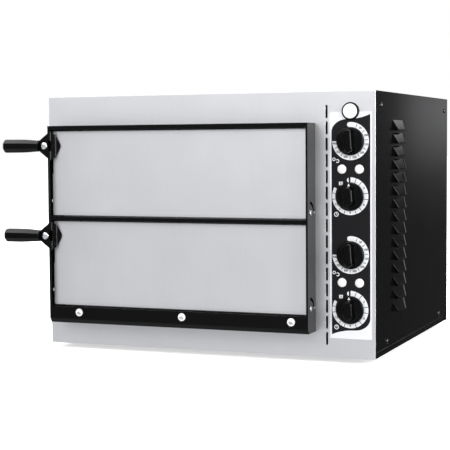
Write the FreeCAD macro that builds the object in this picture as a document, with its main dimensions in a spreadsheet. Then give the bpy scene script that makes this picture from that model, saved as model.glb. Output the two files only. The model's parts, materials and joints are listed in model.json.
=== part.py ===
"""Two-deck countertop pizza oven as a parametric FreeCAD document.

Every size and place comes from the spreadsheet that SIZES fills. All objects are drawn in the cabinet's
own axes (x = 0 in the middle of its width, y = 0 in the middle of its depth, z = 0 on the counter, front
towards -Y) and are then moved together by frame_shift_x and frame_shift_y, which put the origin under the
middle of the whole oven, handles and cable gland included. Lengths are in millimetres.
"""

import FreeCAD, Part

import math
import os

import Sketcher
from FreeCAD import Rotation, Vector

SIZES = {
    # frame
    "frame_shift_x": 26.5, "frame_shift_y": 20,
    # cabinet
    "cabinet_width": 568, "cabinet_depth": 500, "foot_height": 8, "cabinet_top": 423, "sheet": 1,
    "tray_flange": 30, "front_ring_depth": 14, "back_fold": 15, "side_cover_bottom": 17.5, "cover_gap": 0.5,
    "mouth_play": 0.5, "foot_inset_x": 70, "foot_inset_y": 65, "foot_radius": 15, "foot_sole_radius": 12.9,
    # wall between the baking section and the control compartment
    "bulkhead_left": 195, "bulkhead_fold": 12, "ring_gap": 1, "fold_gap": 6, "wire_hole_y": 190,
    "wire_hole_z": 150, "wire_hole_radius": 12,
    # side cover louvres, which stand out of the right side cover
    "louvre_count": 15, "louvre_pitch": 20.9, "louvre_top": 379.5, "louvre_height": 16.5,
    "louvre_depth": 8, "louvre_front": -145, "louvre_back": -78, "louvre_taper": 7, "louvre_wall": 0.8,
    "louvre_root_rise": 0.3, "louvre_throat_drop": 2.5,
    # vertical vent slots in the front panel
    "slot_count": 15, "slot_pitch": 25.26, "slot_x": 205.8, "slot_top": 401.8, "slot_length": 20.3,
    "slot_width": 3.4,
    # the two decks repeat upwards at deck_pitch
    "deck_pitch": 149, "pivot_y": -275.5, "pivot_z": 86.6, "pivot_radius": 2.5, "pivot_play": 0.05,
    "pivot_screw_length": 5,
    "guide_arm": 15, "guide_radius": 2, "guide_play": 0.3, "guide_pin_reach": 1.6, "door_travel": 90,
    # black surround of the doors
    "surround_left": -265.5, "surround_right": 187.5, "surround_bottom": 48, "surround_top": 374.5,
    "surround_front": -289, "surround_sheet": 1.2, "surround_lip": 3.2, "surround_back_lip": 8,
    "bar_gap": 1.6, "bar_return": 9, "surround_fold": 7, "surround_slant": 5, "surround_slant_toe": 1.6,
    "surround_slant_heel": 0.6, "surround_screw_z": 66.5, "surround_screw_x": -25,
    "surround_screw_pitch": 185, "surround_hole_radius": 2, "washer_radius": 6.3, "washer_thickness": 1.2,
    # doors, measured from the pivot
    "door_left": -260.3, "door_right": 182.3, "door_face": -279.5, "door_below": 9.3, "door_above": 130.1,
    "door_skin_depth": 10, "door_plug_depth": 9, "door_plug_inset": 10,
    "rivet_radius": 3, "rivet_crown_radius": 1.8, "rivet_head": 1, "rivet_pitch": 178, "rivet_offset": 5,
    # hinge plates, measured from the pivot
    "hinge_plate": 1.5, "hinge_below": 8, "hinge_above": 60, "hinge_heel": 6, "hinge_shoulder": 9,
    "hinge_arm_end": 4.5, "hinge_arm_below": 4, "hinge_arm_above": 5,
    # handles
    "handle_rise": 106, "ear_front": -293, "ear_sheet": 2, "joggle_left": -259.5, "joggle_right": -253.5,
    "joggle_front_round": 1, "joggle_rear_round": 0.6, "joggle_back_round": 1.6,
    "ear_tip_x": -278, "ear_tip_half": 9.2, "ear_peak_x": -257.8, "ear_peak_flat": 1.5, "ear_half": 23.5,
    "ear_right_x": -246, "ear_right_half": 2.4, "handle_screw_x": -269.5, "handle_screw_radius": 2.5,
    "grip_tip_x": -345, "grip_axis_y": -292, "grip_end_flats": 22, "grip_neck_flats": 18.4,
    "tang_depth": 7, "tang_half": 7, "tang_end_x": -266.1,
    # baking chambers, with their floor height measured from the pivot
    "chamber_left": -244, "chamber_width": 410, "chamber_back": 111, "chamber_height": 122,
    "mouth_front": -259.5, "mouth_flange": 6, "stone_gap": 5, "stone_thickness": 14, "stone_rise": 18,
    "stone_front_gap": 7, "ledge_front_gap": 6, "ledge_width": 12, "ledge_sheet": 1.5,
    "element_radius": 3.25, "element_turn": 32, "element_rise": 9, "element_drop": 10,
    "element_front_gap": 12, "element_back_gap": 8, "element_end_y": 165,
    "bulb_x": 96, "bulb_tail": 8, "bulb_y": 10, "bulb_radius": 2.5, "bulb_drop": 3.6,
    # insulation and the beams under it
    "rear_insulation": 40, "wool_gap": 0.5, "beam_top": 38, "beam_width": 30, "beam_wall": 1.5,
    "beam_end_gap": 2, "beam_front_y": -200, "beam_rear_y": 60,
    # controls on the right of the front panel
    "control_x": 244.6, "control_pitch": 175.9, "thermostat_z": 169.8, "timer_z": 84.8,
    "label_left": 211, "label_right": 278, "label_bottom": 39, "label_top": 390.5, "label_thickness": 0.6,
    "label_notch_radius": 14,
    "lamp_z": 126.6, "lamp_spread": 14, "lamp_radius": 7.4, "lamp_crown_radius": 5.9, "lamp_dome": 1.8,
    "lamp_barrel_radius": 5, "lamp_barrel_length": 18,
    "thermostat_case_half": 19, "thermostat_case_depth": 24, "timer_case_half": 22, "timer_case_depth": 30,
    "bush_radius": 4.9, "bush_length": 6.5, "bush_bore_depth": 12,
    "spindle_radius": 3, "spindle_play": 0.05, "spindle_foot": 10, "spindle_cover": 5,
    "knob_skirt_radius": 22, "knob_back": -252, "knob_skirt_depth": 5, "knob_front": -270.5,
    "knob_bush_play": 0.6, "thermostat_grip_width": 16.5, "thermostat_grip_length": 40,
    "timer_grip_width": 15, "timer_grip_length": 30,
    # power button: the fixed bezel and switch body, and the cap that travels inwards
    "button_z": 391.8, "button_travel": 2.5, "button_hole_radius": 11, "bezel_radius": 13.9,
    "bezel_mouth_radius": 12.5, "bezel_neck_radius": 13, "bezel_rise": 3, "bezel_floor": 0.8,
    "switch_radius": 10.9, "switch_well_radius": 9, "switch_depth": 22, "cap_radius": 12.1,
    "cap_stem_radius": 8.6, "cap_proud": 1.4, "cap_rim": 1.1, "cap_stem_depth": 5,
    # rear services
    "gland_x": 236, "gland_z": 58, "gland_bore": 5, "gland_end": 263, "gland_nut_radius": 12,
    "gland_nut_height": 5, "gland_cap_radius": 11, "gland_mouth_radius": 8, "gland_thread_length": 12,
    "stud_x": 198, "stud_z": 58, "stud_radius": 3, "stud_end": 262, "stud_tail": 8,
    "stud_nut_radius": 5.5, "stud_nut_height": 4,
    "terminal_y": 170, "terminal_z": 70, "terminal_length": 52, "terminal_height": 24,
    "terminal_depth": 22, "terminal_wall": 8, "well_count": 5, "well_pitch": 10, "well_inset": 6,
    "well_radius": 3,
    "loom_radius": 4, "loom_clearance": 6, "loom_bottom": 94.5, "loom_top": 330, "loom_front_y": -205,
    "loom_front_bottom": 110,
}

DECKS = ("lower", "upper")
# sheet-metal screws: (y, z) on each side cover and (x, z) on the back
SIDE_SCREWS = ((-216, 401), (224, 401), (-182, 28), (181, 28))
BACK_SCREWS = tuple((261 * column, height) for column in (-1, 0, 1) for height in (24, 407))
# screws: (radius, height) of the head and (radius, length) of the shank
SCREW_HEAD, SCREW_SHANK = (4, 2.2), (1.9, 7)
SURROUND_SCREW_HEAD, SURROUND_SCREW_SHANK = (3.6, 2.2), (2, 44)
HANDLE_SCREW_HEAD, HANDLE_SCREW_SHANK = (6, 3), (2.5, 8.5)
PIVOT_SCREW_HEAD = (4, 2)
# shares of a screw head: height of its rim, radius of its crown, depth, reach and half width of its cross
HEAD_RIM, HEAD_CROWN, CROSS_DEPTH, CROSS_REACH, CROSS_HALF = 0.45, 0.72, 0.5, 0.55, 0.11
AXES = {"x": Rotation(Vector(0, 1, 0), 90), "y": Rotation(Vector(1, 0, 0), -90), "z": Rotation()}


class Size:
    """A number together with the spreadsheet formula that gives it."""

    def __init__(self, value, formula):
        self.value = value
        self.formula = formula

    def _join(self, other, sign, value):
        return Size(value, f"({self.formula} {sign} {as_size(other).formula})")

    def __add__(self, other):
        return self._join(other, "+", self.value + as_size(other).value)

    def __sub__(self, other):
        return self._join(other, "-", self.value - as_size(other).value)

    def __mul__(self, other):
        return self._join(other, "*", self.value * as_size(other).value)

    def __truediv__(self, other):
        return self._join(other, "/", self.value / as_size(other).value)

    __radd__ = __add__
    __rmul__ = __mul__

    def __rsub__(self, other):
        return as_size(other) - self

    def __neg__(self):
        return Size(-self.value, f"(0 - {self.formula})")


def as_size(number):
    """A plain number as a Size whose formula is the number itself."""
    return number if isinstance(number, Size) else Size(float(number), repr(float(number)))


class Sheet:
    """The spreadsheet; each alias is also an attribute that gives its Size."""

    def __init__(self, document, sizes):
        cells = document.addObject("Spreadsheet::Sheet", "Dims")
        for row, (alias, value) in enumerate(sizes.items(), start=1):
            cells.set(f"A{row}", alias)
            cells.set(f"B{row}", str(value))
            cells.setAlias(f"B{row}", alias)
            setattr(self, alias, Size(float(value), f"Dims.{alias}"))


doc = FreeCAD.newDocument("pizza_oven")
d = Sheet(doc, SIZES)
doc.recompute()
nodes = []


# ---------------------------------------------------------------- helpers

def bind(thing, prop, size):
    thing.setExpression(prop, as_size(size).formula)


def node(thing, label):
    """Name a finished sub-part and move it from the cabinet's axes to the oven's frame."""
    thing.Label = label
    bind(thing, "Placement.Base.x", d.frame_shift_x)
    bind(thing, "Placement.Base.y", d.frame_shift_y)
    nodes.append(thing)
    return thing


def box(name, x_span, y_span, z_span):
    """A Part::Box between pairs of coordinates."""
    thing = doc.addObject("Part::Box", name)
    for prop, axis, (low, high) in zip(("Length", "Width", "Height"), "xyz", (x_span, y_span, z_span)):
        bind(thing, prop, as_size(high) - low)
        bind(thing, f"Placement.Base.{axis}", low)
    return thing


def place_along(thing, axis, start, across):
    """Point a primitive's own +Z along axis, from the level start, at the two coordinates across."""
    thing.Placement.Rotation = AXES[axis]
    spots = dict(zip([letter for letter in "xyz" if letter != axis], across))
    spots[axis] = start
    for letter, spot in spots.items():
        bind(thing, f"Placement.Base.{letter}", spot)
    return thing


def rod(name, axis, span, across, radius):
    """A Part::Cylinder along an axis between the two levels of span."""
    thing = doc.addObject("Part::Cylinder", name)
    bind(thing, "Radius", radius)
    bind(thing, "Height", as_size(span[1]) - span[0])
    return place_along(thing, axis, span[0], across)


def cone(name, axis, span, across, radii):
    """A Part::Cone along an axis, radii[0] at the first level of span and radii[1] at the second."""
    thing = doc.addObject("Part::Cone", name)
    bind(thing, "Radius1", radii[0])
    bind(thing, "Radius2", radii[1])
    bind(thing, "Height", as_size(span[1]) - span[0])
    return place_along(thing, axis, span[0], across)


def fuse(name, shapes):
    thing = doc.addObject("Part::MultiFuse", name)
    thing.Shapes = shapes
    thing.Refine = True
    return thing


def cut(name, base, tools):
    thing = doc.addObject("Part::Cut", name)
    thing.Base = base
    thing.Tool = tools[0] if len(tools) == 1 else fuse(name + "_tools", tools)
    return thing


def group(name, shapes):
    """Separate solids that share one node."""
    thing = doc.addObject("Part::Compound", name)
    thing.Links = shapes
    return thing


def origin_feature(body, role):
    return next(feature for feature in body.Origin.OriginFeatures if feature.Role == role)


class Piece:
    """A PartDesign body whose features are drawn on its own origin planes."""

    def __init__(self, label):
        self.label = label
        self.count = 0
        self.body = doc.addObject("PartDesign::Body", label)

    def _name(self, kind):
        self.count += 1
        return f"{self.label}_{kind}_{self.count}"

    def _fix(self, sketch, geometry, point, spot):
        """Hold a sketch point at two distances from the sketch's origin."""
        for kind, size in zip(("DistanceX", "DistanceY"), spot):
            size = as_size(size)
            index = sketch.addConstraint(Sketcher.Constraint(kind, -1, 1, geometry, point, size.value))
            sketch.setExpression(f"Constraints[{index}]", size.formula)

    def outline(self, sketch, corners):
        """A closed outline of straight lines through the corners."""
        first = sketch.GeometryCount
        spots = [Vector(as_size(u).value, as_size(v).value, 0) for u, v in corners]
        total = len(corners)
        for index, spot in enumerate(spots):
            sketch.addGeometry(Part.LineSegment(spot, spots[(index + 1) % total]), False)
        for index in range(total):
            following = first + (index + 1) % total
            sketch.addConstraint(Sketcher.Constraint("Coincident", first + index, 2, following, 1))
            self._fix(sketch, first + index, 1, corners[index])

    def ring(self, sketch, centre, radius):
        """A circle."""
        middle = Vector(as_size(centre[0]).value, as_size(centre[1]).value, 0)
        geometry = sketch.addGeometry(Part.Circle(middle, Vector(0, 0, 1), as_size(radius).value), False)
        self._fix(sketch, geometry, 3, centre)
        index = sketch.addConstraint(Sketcher.Constraint("Radius", geometry, as_size(radius).value))
        sketch.setExpression(f"Constraints[{index}]", as_size(radius).formula)

    def stadium(self, sketch, centre, width, length):
        """A slot shape that stands along the sketch's second axis."""
        u, v = (as_size(value) for value in centre)
        half, reach = as_size(width) / 2, (as_size(length) - width) / 2
        top, bottom = (u, v + reach), (u, v - reach)
        normal = Vector(0, 0, 1)
        arcs = []
        for (cu, cv), start in ((top, 0), (bottom, math.pi)):
            circle = Part.Circle(Vector(cu.value, cv.value, 0), normal, half.value)
            arcs.append(sketch.addGeometry(Part.ArcOfCircle(circle, start, start + math.pi), False))
        sides = []
        for side, start, end in ((-1, top, bottom), (1, bottom, top)):
            edge_u = u.value + side * half.value
            line = Part.LineSegment(Vector(edge_u, start[1].value, 0), Vector(edge_u, end[1].value, 0))
            sides.append(sketch.addGeometry(line, False))
        left, right = sides
        upper, lower = arcs
        joints = ((upper, 2, left, 1), (left, 2, lower, 1), (lower, 2, right, 1), (right, 2, upper, 1))
        for joint in joints:
            sketch.addConstraint(Sketcher.Constraint("Tangent", *joint))
        self._fix(sketch, arcs[0], 3, top)
        self._fix(sketch, arcs[1], 3, bottom)
        index = sketch.addConstraint(Sketcher.Constraint("Radius", arcs[0], half.value))
        sketch.setExpression(f"Constraints[{index}]", half.formula)

    def sketch(self, role, level, outlines=(), rings=(), stadiums=()):
        """A sketch on one of the body's origin planes, moved to a level along the plane's axis."""
        sketch = self.body.newObject("Sketcher::SketchObject", self._name("sketch"))
        sketch.AttachmentSupport = [(origin_feature(self.body, role), "")]
        sketch.MapMode = "FlatFace"
        level = as_size(level)
        bind(sketch, "AttachmentOffset.Base.z", -level if role == "XZ_Plane" else level)
        for corners in outlines:
            self.outline(sketch, corners)
        for centre, radius in rings:
            self.ring(sketch, centre, radius)
        for centre, width, length in stadiums:
            self.stadium(sketch, centre, width, length)
        return sketch

    def _extrude(self, kind, role, span, shapes):
        start, end = (as_size(level) for level in span)
        sketch = self.sketch(role, start, **shapes)
        feature = self.body.newObject(f"PartDesign::{kind}", self._name(kind.lower()))
        feature.Profile = sketch
        rising = end.value > start.value
        bind(feature, "Length", end - start if rising else start - end)
        along_normal = rising != (role == "XZ_Plane")
        feature.Reversed = (not along_normal) if kind == "Pad" else along_normal
        self.body.Tip = feature
        return feature

    def pad(self, role, span, **shapes):
        """Add material between the two levels of span."""
        return self._extrude("Pad", role, span, shapes)

    def pocket(self, role, span, **shapes):
        """Remove material between the two levels of span."""
        return self._extrude("Pocket", role, span, shapes)

    def loft(self, kind, role, sections):
        """A ruled loft through (level, corners) sections, Additive or Subtractive."""
        sketches = [self.sketch(role, level, outlines=[corners]) for level, corners in sections]
        feature = self.body.newObject(f"PartDesign::{kind}Loft", self._name("loft"))
        feature.Profile = sketches[0]
        feature.Sections = sketches[1:]
        feature.Ruled = True
        self.body.Tip = feature
        return feature

    def turn(self, kind, role, level, axis_spot, corners, angle=360):
        """A Revolution or Groove of an outline about the sketch's horizontal axis through axis_spot."""
        sketch = self.sketch(role, level, outlines=[corners])
        u, v = (as_size(value) for value in axis_spot)
        line = sketch.addGeometry(Part.LineSegment(
            Vector(u.value, v.value, 0), Vector(u.value + 10, v.value, 0)), True)
        self._fix(sketch, line, 1, (u, v))
        self._fix(sketch, line, 2, (u + 10, v))
        feature = self.body.newObject(f"PartDesign::{kind}", self._name(kind.lower()))
        feature.Profile = sketch
        feature.ReferenceAxis = (sketch, ["Axis0"])
        feature.Angle = angle
        self.body.Tip = feature
        return feature

    def line_up(self, features, axis, count, pitch, backwards=False):
        """Repeat features along one of the body's origin axes."""
        pattern = self.body.newObject("PartDesign::LinearPattern", self._name("pattern"))
        pattern.Originals = features
        pattern.Direction = (origin_feature(self.body, axis), [""])
        pattern.Reversed = backwards
        bind(pattern, "Length", pitch * (count - 1))
        bind(pattern, "Occurrences", count)
        self.body.Tip = pattern
        return pattern


def rect(u_span, v_span):
    """The corners of a rectangle."""
    (left, right), (low, high) = u_span, v_span
    return [(left, low), (right, low), (right, high), (left, high)]


def shrunk(span, margin):
    """A pair of coordinates moved towards each other by a margin."""
    return (as_size(span[0]) + margin, as_size(span[1]) - margin)


# ---------------------------------------------------------------- shared levels

half_width = d.cabinet_width / 2
panel_front = -d.cabinet_depth / 2
panel_rear = panel_front + d.sheet
back_outer = d.cabinet_depth / 2
back_inner = back_outer - d.sheet
front_ring_rear = panel_rear + d.front_ring_depth
fold_front = back_outer - d.back_fold
inside_bottom = d.foot_height + d.sheet
inside_top = d.cabinet_top - d.sheet
outer_x = (-half_width, half_width)
tray_x = shrunk(outer_x, d.sheet)
inner_x = shrunk(outer_x, d.sheet * 2)
bulkhead_right = d.bulkhead_left + d.sheet
chamber_x = (d.chamber_left, d.chamber_left + d.chamber_width)
liner_x = shrunk(chamber_x, -d.sheet)


def pivot_height(deck):
    return d.pivot_z + d.deck_pitch * DECKS.index(deck)


def chamber_span(deck):
    """Floor and ceiling of a baking chamber: its centre is level with the middle of its door."""
    middle = pivot_height(deck) + (d.door_above - d.door_below) / 2
    return (middle - d.chamber_height / 2, middle + d.chamber_height / 2)


def bulb_spot(deck):
    """Where a thermostat's sensing bulb lies, between the top element and the ceiling."""
    return (d.bulb_y, chamber_span(deck)[1] - d.bulb_drop)


def control_height(name, deck):
    base = {"thermostat": d.thermostat_z, "timer": d.timer_z, "lamp": d.lamp_z}[name]
    return base + d.control_pitch * DECKS.index(deck)


def lamp_spots():
    """Centres of the four pilot lamps on the front."""
    return [(d.control_x + d.lamp_spread * side, control_height("lamp", deck))
            for deck in DECKS for side in (-1, 1)]


def dial_spots():
    """Centres of the four dials on the front."""
    return [(d.control_x, control_height(kind, deck)) for deck in DECKS for kind in ("thermostat", "timer")]


def surround_screw_spots():
    """Centres of the three screws in the surround's bottom bar."""
    return [(d.surround_screw_x + d.surround_screw_pitch * step, d.surround_screw_z) for step in (-1, 0, 1)]


# ---------------------------------------------------------------- cabinet

def make_front_panel():
    """Steel sheet with a stiffening ring behind it, door mouths, vent slots and control holes."""
    piece = Piece("front_panel")
    height = (d.foot_height, d.cabinet_top)
    mouth_x = shrunk(liner_x, -d.mouth_play)
    mouths = [rect(mouth_x, shrunk(chamber_span(deck), -(d.sheet + d.mouth_play))) for deck in DECKS]
    holes = [((d.control_x, d.button_z), d.button_hole_radius)]
    holes += [(spot, d.bush_radius) for spot in dial_spots()]
    holes += [(spot, d.lamp_barrel_radius) for spot in lamp_spots()]
    holes += [(spot, d.surround_hole_radius) for spot in surround_screw_spots()]
    piece.pad("XZ_Plane", (panel_rear, panel_front), outlines=[rect(outer_x, height)])
    ring = rect(inner_x, (inside_bottom, inside_top))
    hollow = rect(shrunk(inner_x, d.sheet), (inside_bottom + d.sheet, inside_top - d.sheet))
    piece.pad("XZ_Plane", (panel_rear, front_ring_rear), outlines=[ring, hollow])
    piece.pocket("XZ_Plane", (panel_rear, panel_front), outlines=mouths, rings=holes)
    slot_middle = d.slot_top - d.slot_length / 2
    slot = piece.pocket("XZ_Plane", (panel_rear, panel_front),
                        stadiums=[((d.slot_x, slot_middle), d.slot_width, d.slot_length)])
    piece.line_up([slot], "Z_Axis", d.slot_count, d.slot_pitch, backwards=True)
    node(piece.body, "front_panel")


def make_side_covers():
    """Flat painted covers; the right one carries a column of hooded louvres."""
    height = (d.side_cover_bottom, d.cabinet_top)
    depth = (panel_rear, fold_front - d.cover_gap)
    left = Piece("side_cover_left")
    left_sheet = (-half_width, -half_width + d.sheet)
    left.pad("YZ_Plane", left_sheet, outlines=[rect(depth, height)])
    left.pocket("YZ_Plane", left_sheet, rings=screw_holes(SIDE_SCREWS))
    node(left.body, "side_cover_left")

    right = Piece("side_cover_right")
    right_sheet = (half_width - d.sheet, half_width)
    right.pad("YZ_Plane", right_sheet, outlines=[rect(depth, height)])
    right.pocket("YZ_Plane", right_sheet, rings=screw_holes(SIDE_SCREWS))
    lip_z = d.louvre_top - d.louvre_height
    top_y = (d.louvre_front, d.louvre_back)
    lip_y = shrunk(top_y, d.louvre_taper)
    root = half_width - d.sheet / 2
    tip = half_width + d.louvre_depth
    hood = right.loft("Additive", "XY_Plane", [
        (lip_z, rect((root, tip), lip_y)),
        (d.louvre_top, rect((root, half_width + d.louvre_root_rise), top_y)),
    ])
    inside = half_width - d.sheet * 2
    throat_top = d.louvre_top - d.louvre_throat_drop
    throat = right.loft("Subtractive", "XY_Plane", [
        (lip_z, rect((inside, tip - d.louvre_wall), shrunk(lip_y, d.louvre_wall))),
        (throat_top, rect((inside, half_width), shrunk(top_y, d.louvre_wall * 2))),
    ])
    right.line_up([hood, throat], "Z_Axis", d.louvre_count, d.louvre_pitch, backwards=True)
    node(right.body, "side_cover_right")


def make_trays():
    """Base tray and top cover, folded at the sides and rear, and the back panel that wraps them."""
    x_low, x_high = tray_x
    rear_fold = (back_inner - d.sheet, back_inner)
    for label, floor, ceiling, rim in (
        ("base_tray", d.foot_height, inside_bottom, d.foot_height + d.tray_flange),
        ("top_cover", d.cabinet_top, inside_top, d.cabinet_top - d.tray_flange),
    ):
        piece = Piece(label)
        corners = [
            (x_low, floor), (x_high, floor), (x_high, rim), (x_high - d.sheet, rim),
            (x_high - d.sheet, ceiling), (x_low + d.sheet, ceiling), (x_low + d.sheet, rim), (x_low, rim),
        ]
        piece.pad("XZ_Plane", (panel_rear, back_inner), outlines=[corners])
        low, high = (ceiling, rim) if label == "base_tray" else (rim, ceiling)
        piece.pad("XZ_Plane", rear_fold, outlines=[rect(inner_x, (low, high))])
        in_sides = [spot for spot in SIDE_SCREWS if low.value < spot[1] < high.value]
        in_rear = [spot for spot in BACK_SCREWS if low.value < spot[1] < high.value]
        piece.pocket("YZ_Plane", (x_low, x_high), rings=screw_holes(in_sides))
        piece.pocket("XZ_Plane", rear_fold, rings=screw_holes(in_rear))
        node(piece.body, label)

    back = Piece("back_panel")
    x_low, x_high = outer_x
    back.pad("XY_Plane", (d.foot_height, d.cabinet_top), outlines=[[
        (x_low, fold_front), (x_low + d.sheet, fold_front), (x_low + d.sheet, back_inner),
        (x_high - d.sheet, back_inner), (x_high - d.sheet, fold_front), (x_high, fold_front),
        (x_high, back_outer), (x_low, back_outer),
    ]])
    services = [((d.gland_x, d.gland_z), d.gland_mouth_radius), ((d.stud_x, d.stud_z), d.stud_radius)]
    back.pocket("XZ_Plane", (back_inner, back_outer), rings=services + screw_holes(BACK_SCREWS))
    node(back.body, "back_panel")


def make_bulkhead():
    """Wall between the baking section and the control compartment."""
    piece = Piece("bulkhead")
    low, high = inside_bottom, inside_top
    left, right, toe = d.bulkhead_left, bulkhead_right, bulkhead_right + d.bulkhead_fold
    piece.pad("XZ_Plane", (front_ring_rear + d.ring_gap, fold_front - d.fold_gap), outlines=[[
        (left, low), (toe, low), (toe, low + d.sheet), (right, low + d.sheet),
        (right, high - d.sheet), (toe, high - d.sheet), (toe, high), (left, high),
    ]])
    bulb_holes = [(bulb_spot(deck), d.bulb_radius) for deck in DECKS]
    wire_hole = ((d.wire_hole_y, d.wire_hole_z), d.wire_hole_radius)
    piece.pocket("YZ_Plane", (left, right), rings=bulb_holes + [wire_hole])
    node(piece.body, "bulkhead")


def make_feet():
    """Four rubber feet, set in from the edges."""
    feet = []
    for side_x in (-1, 1):
        for side_y in (-1, 1):
            spot = ((half_width - d.foot_inset_x) * side_x, (back_outer - d.foot_inset_y) * side_y)
            radii = (d.foot_sole_radius, d.foot_radius)
            feet.append(cone(f"foot_{len(feet)}", "z", (0, d.foot_height), spot, radii))
    node(group("feet_group", feet), "rubber_feet")


def screw(name, axis, face, across, head, shank, outward):
    """A pan-head screw: (radius, height) of head, (radius, length) of shank, crossed recess in the head."""
    face = as_size(face)
    (head_radius, head_height), (shank_radius, shank_length) = head, shank
    crown = face + outward * head_height
    rim = face + outward * head_height * HEAD_RIM
    low_first = outward > 0
    rim_span = (face, rim) if low_first else (rim, face)
    crown_span = (rim, crown) if low_first else (crown, rim)
    crown_radii = (head_radius, head_radius * HEAD_CROWN)
    if not low_first:
        crown_radii = crown_radii[::-1]
    tail = face - outward * shank_length
    shank_span = (tail, face) if low_first else (face, tail)
    body = fuse(name + "_blank", [
        rod(name + "_rim", axis, rim_span, across, head_radius),
        cone(name + "_crown", axis, crown_span, across, crown_radii),
        rod(name + "_shank", axis, shank_span, across, shank_radius),
    ])
    arms = []
    reach, half = head_radius * CROSS_REACH, head_radius * CROSS_HALF
    recess = face + outward * head_height * CROSS_DEPTH
    recess_span = (recess, crown + 1) if low_first else (crown - 1, recess)
    letters = [letter for letter in "xyz" if letter != axis]
    for index, (long, short) in enumerate(((0, 1), (1, 0))):
        spans = {axis: recess_span}
        for which, size in ((long, reach), (short, half)):
            middle = as_size(across[which])
            spans[letters[which]] = (middle - size, middle + size)
        arms.append(box(f"{name}_arm_{index}", spans["x"], spans["y"], spans["z"]))
    return cut(name, body, arms)


def screw_holes(spots):
    """Circles for a row of sheet-metal screws."""
    return [(spot, SCREW_SHANK[0]) for spot in spots]


def make_case_screws():
    """Screws of the side covers and of the back panel."""
    screws = []
    for side in (-1, 1):
        for index, spot in enumerate(SIDE_SCREWS):
            name = f"side_screw_{'left' if side < 0 else 'right'}_{index}"
            screws.append(screw(name, "x", half_width * side, spot, SCREW_HEAD, SCREW_SHANK, side))
    for index, spot in enumerate(BACK_SCREWS):
        screws.append(screw(f"back_screw_{index}", "y", back_outer, spot, SCREW_HEAD, SCREW_SHANK, 1))
    node(group("case_screw_group", screws), "case_screws")


# ---------------------------------------------------------------- door surround

def make_surround():
    """Black box frame round both doors, with three bars across and slotted side flanges."""
    piece = Piece("door_surround")
    wide = (d.surround_left, d.surround_right)
    high = (d.surround_bottom, d.surround_top)
    front_rear = d.surround_front + d.surround_sheet
    inner_wide, inner_high = shrunk(wide, d.surround_sheet), shrunk(high, d.surround_sheet)
    piece.pad("XZ_Plane", (panel_front, d.surround_front),
              outlines=[rect(wide, high), rect(inner_wide, inner_high)])
    windows = []
    for deck in DECKS:
        low = pivot_height(deck) - d.door_below - d.bar_gap
        top = pivot_height(deck) + d.door_above + d.bar_gap
        windows.append((low, top))
    window_x = shrunk(wide, d.surround_lip)
    piece.pad("XZ_Plane", (front_rear, d.surround_front),
              outlines=[rect(wide, high)] + [rect(window_x, span) for span in windows])
    shelves = []
    for low, top in windows:
        shelves.append((low - d.surround_sheet, low))
        shelves.append((top, top + d.surround_sheet))
    piece.pad("XZ_Plane", (front_rear + d.bar_return, front_rear - d.surround_sheet / 2),
              outlines=[rect(shrunk(wide, d.surround_sheet / 2), span) for span in shelves])
    back_hollow = (shrunk(wide, d.surround_back_lip), shrunk(high, d.surround_back_lip))
    piece.pad("XZ_Plane", (panel_front, panel_front - d.surround_sheet),
              outlines=[rect(wide, high), rect(*back_hollow)])

    fold_z, toe_y = d.surround_bottom + d.surround_fold, d.surround_front + d.surround_slant
    piece.pocket("YZ_Plane", (d.surround_right + 1, d.surround_left - 1), outlines=[[
        (d.surround_front - 1, fold_z), (d.surround_front, fold_z), (toe_y, d.surround_bottom),
        (toe_y, d.surround_bottom - 1), (d.surround_front - 1, d.surround_bottom - 1),
    ]])
    piece.pad("YZ_Plane", (d.surround_left, d.surround_right), outlines=[[
        (d.surround_front, fold_z), (toe_y, d.surround_bottom),
        (toe_y + d.surround_slant_toe, d.surround_bottom + d.surround_sheet),
        (front_rear, fold_z + d.surround_slant_heel),
    ]])

    guide_slot = d.guide_radius + d.guide_play
    for deck in DECKS:
        pivot_z = pivot_height(deck)
        ends = [(d.pivot_y + d.guide_arm, pivot_z), (d.pivot_y, pivot_z + d.guide_arm)]
        for flange in ((wide[0] - 1, inner_wide[0] + 0.5), (inner_wide[1] - 0.5, wide[1] + 1)):
            slot_y = (ends[0][0] - guide_slot, ends[0][0] + guide_slot)
            piece.turn("Groove", "XY_Plane", pivot_z, (flange[0], d.pivot_y), rect(flange, slot_y),
                       d.door_travel.value)
            rings = [(end, guide_slot) for end in ends] + [((d.pivot_y, pivot_z), d.pivot_radius)]
            piece.pocket("YZ_Plane", flange, rings=rings)
    piece.pocket("XZ_Plane", (front_rear, d.surround_front),
                 rings=[(spot, d.surround_hole_radius) for spot in surround_screw_spots()])
    node(piece.body, "door_surround")


def make_surround_fixings():
    """Long screws through the bottom bar, each on a pale ring washer."""
    washers, screws = [], []
    washer_front = d.surround_front - d.washer_thickness
    through = (washer_front - 1, d.surround_front + 1)
    for index, spot in enumerate(surround_screw_spots()):
        disc = rod(f"washer_disc_{index}", "y", (washer_front, d.surround_front), spot, d.washer_radius)
        hole = rod(f"washer_hole_{index}", "y", through, spot, d.surround_hole_radius)
        washers.append(cut(f"washer_{index}", disc, [hole]))
        screws.append(screw(f"surround_screw_{index}", "y", washer_front, spot, SURROUND_SCREW_HEAD,
                            SURROUND_SCREW_SHANK, -1))
    node(group("washer_group", washers), "surround_washers")
    node(group("surround_screw_group", screws), "surround_screws")


def make_pivot_screws():
    """Shoulder screws in the surround's side flanges, on which the doors turn."""
    screws = []
    for deck in DECKS:
        spot = (d.pivot_y, pivot_height(deck))
        for side, face in ((-1, d.surround_left), (1, d.surround_right)):
            name = f"pivot_screw_{deck}_{'left' if side < 0 else 'right'}"
            shank = (d.pivot_radius, d.pivot_screw_length)
            screws.append(screw(name, "x", face, spot, PIVOT_SCREW_HEAD, shank, side))
    node(group("pivot_screw_group", screws), "pivot_screws")


# ---------------------------------------------------------------- doors

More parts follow.
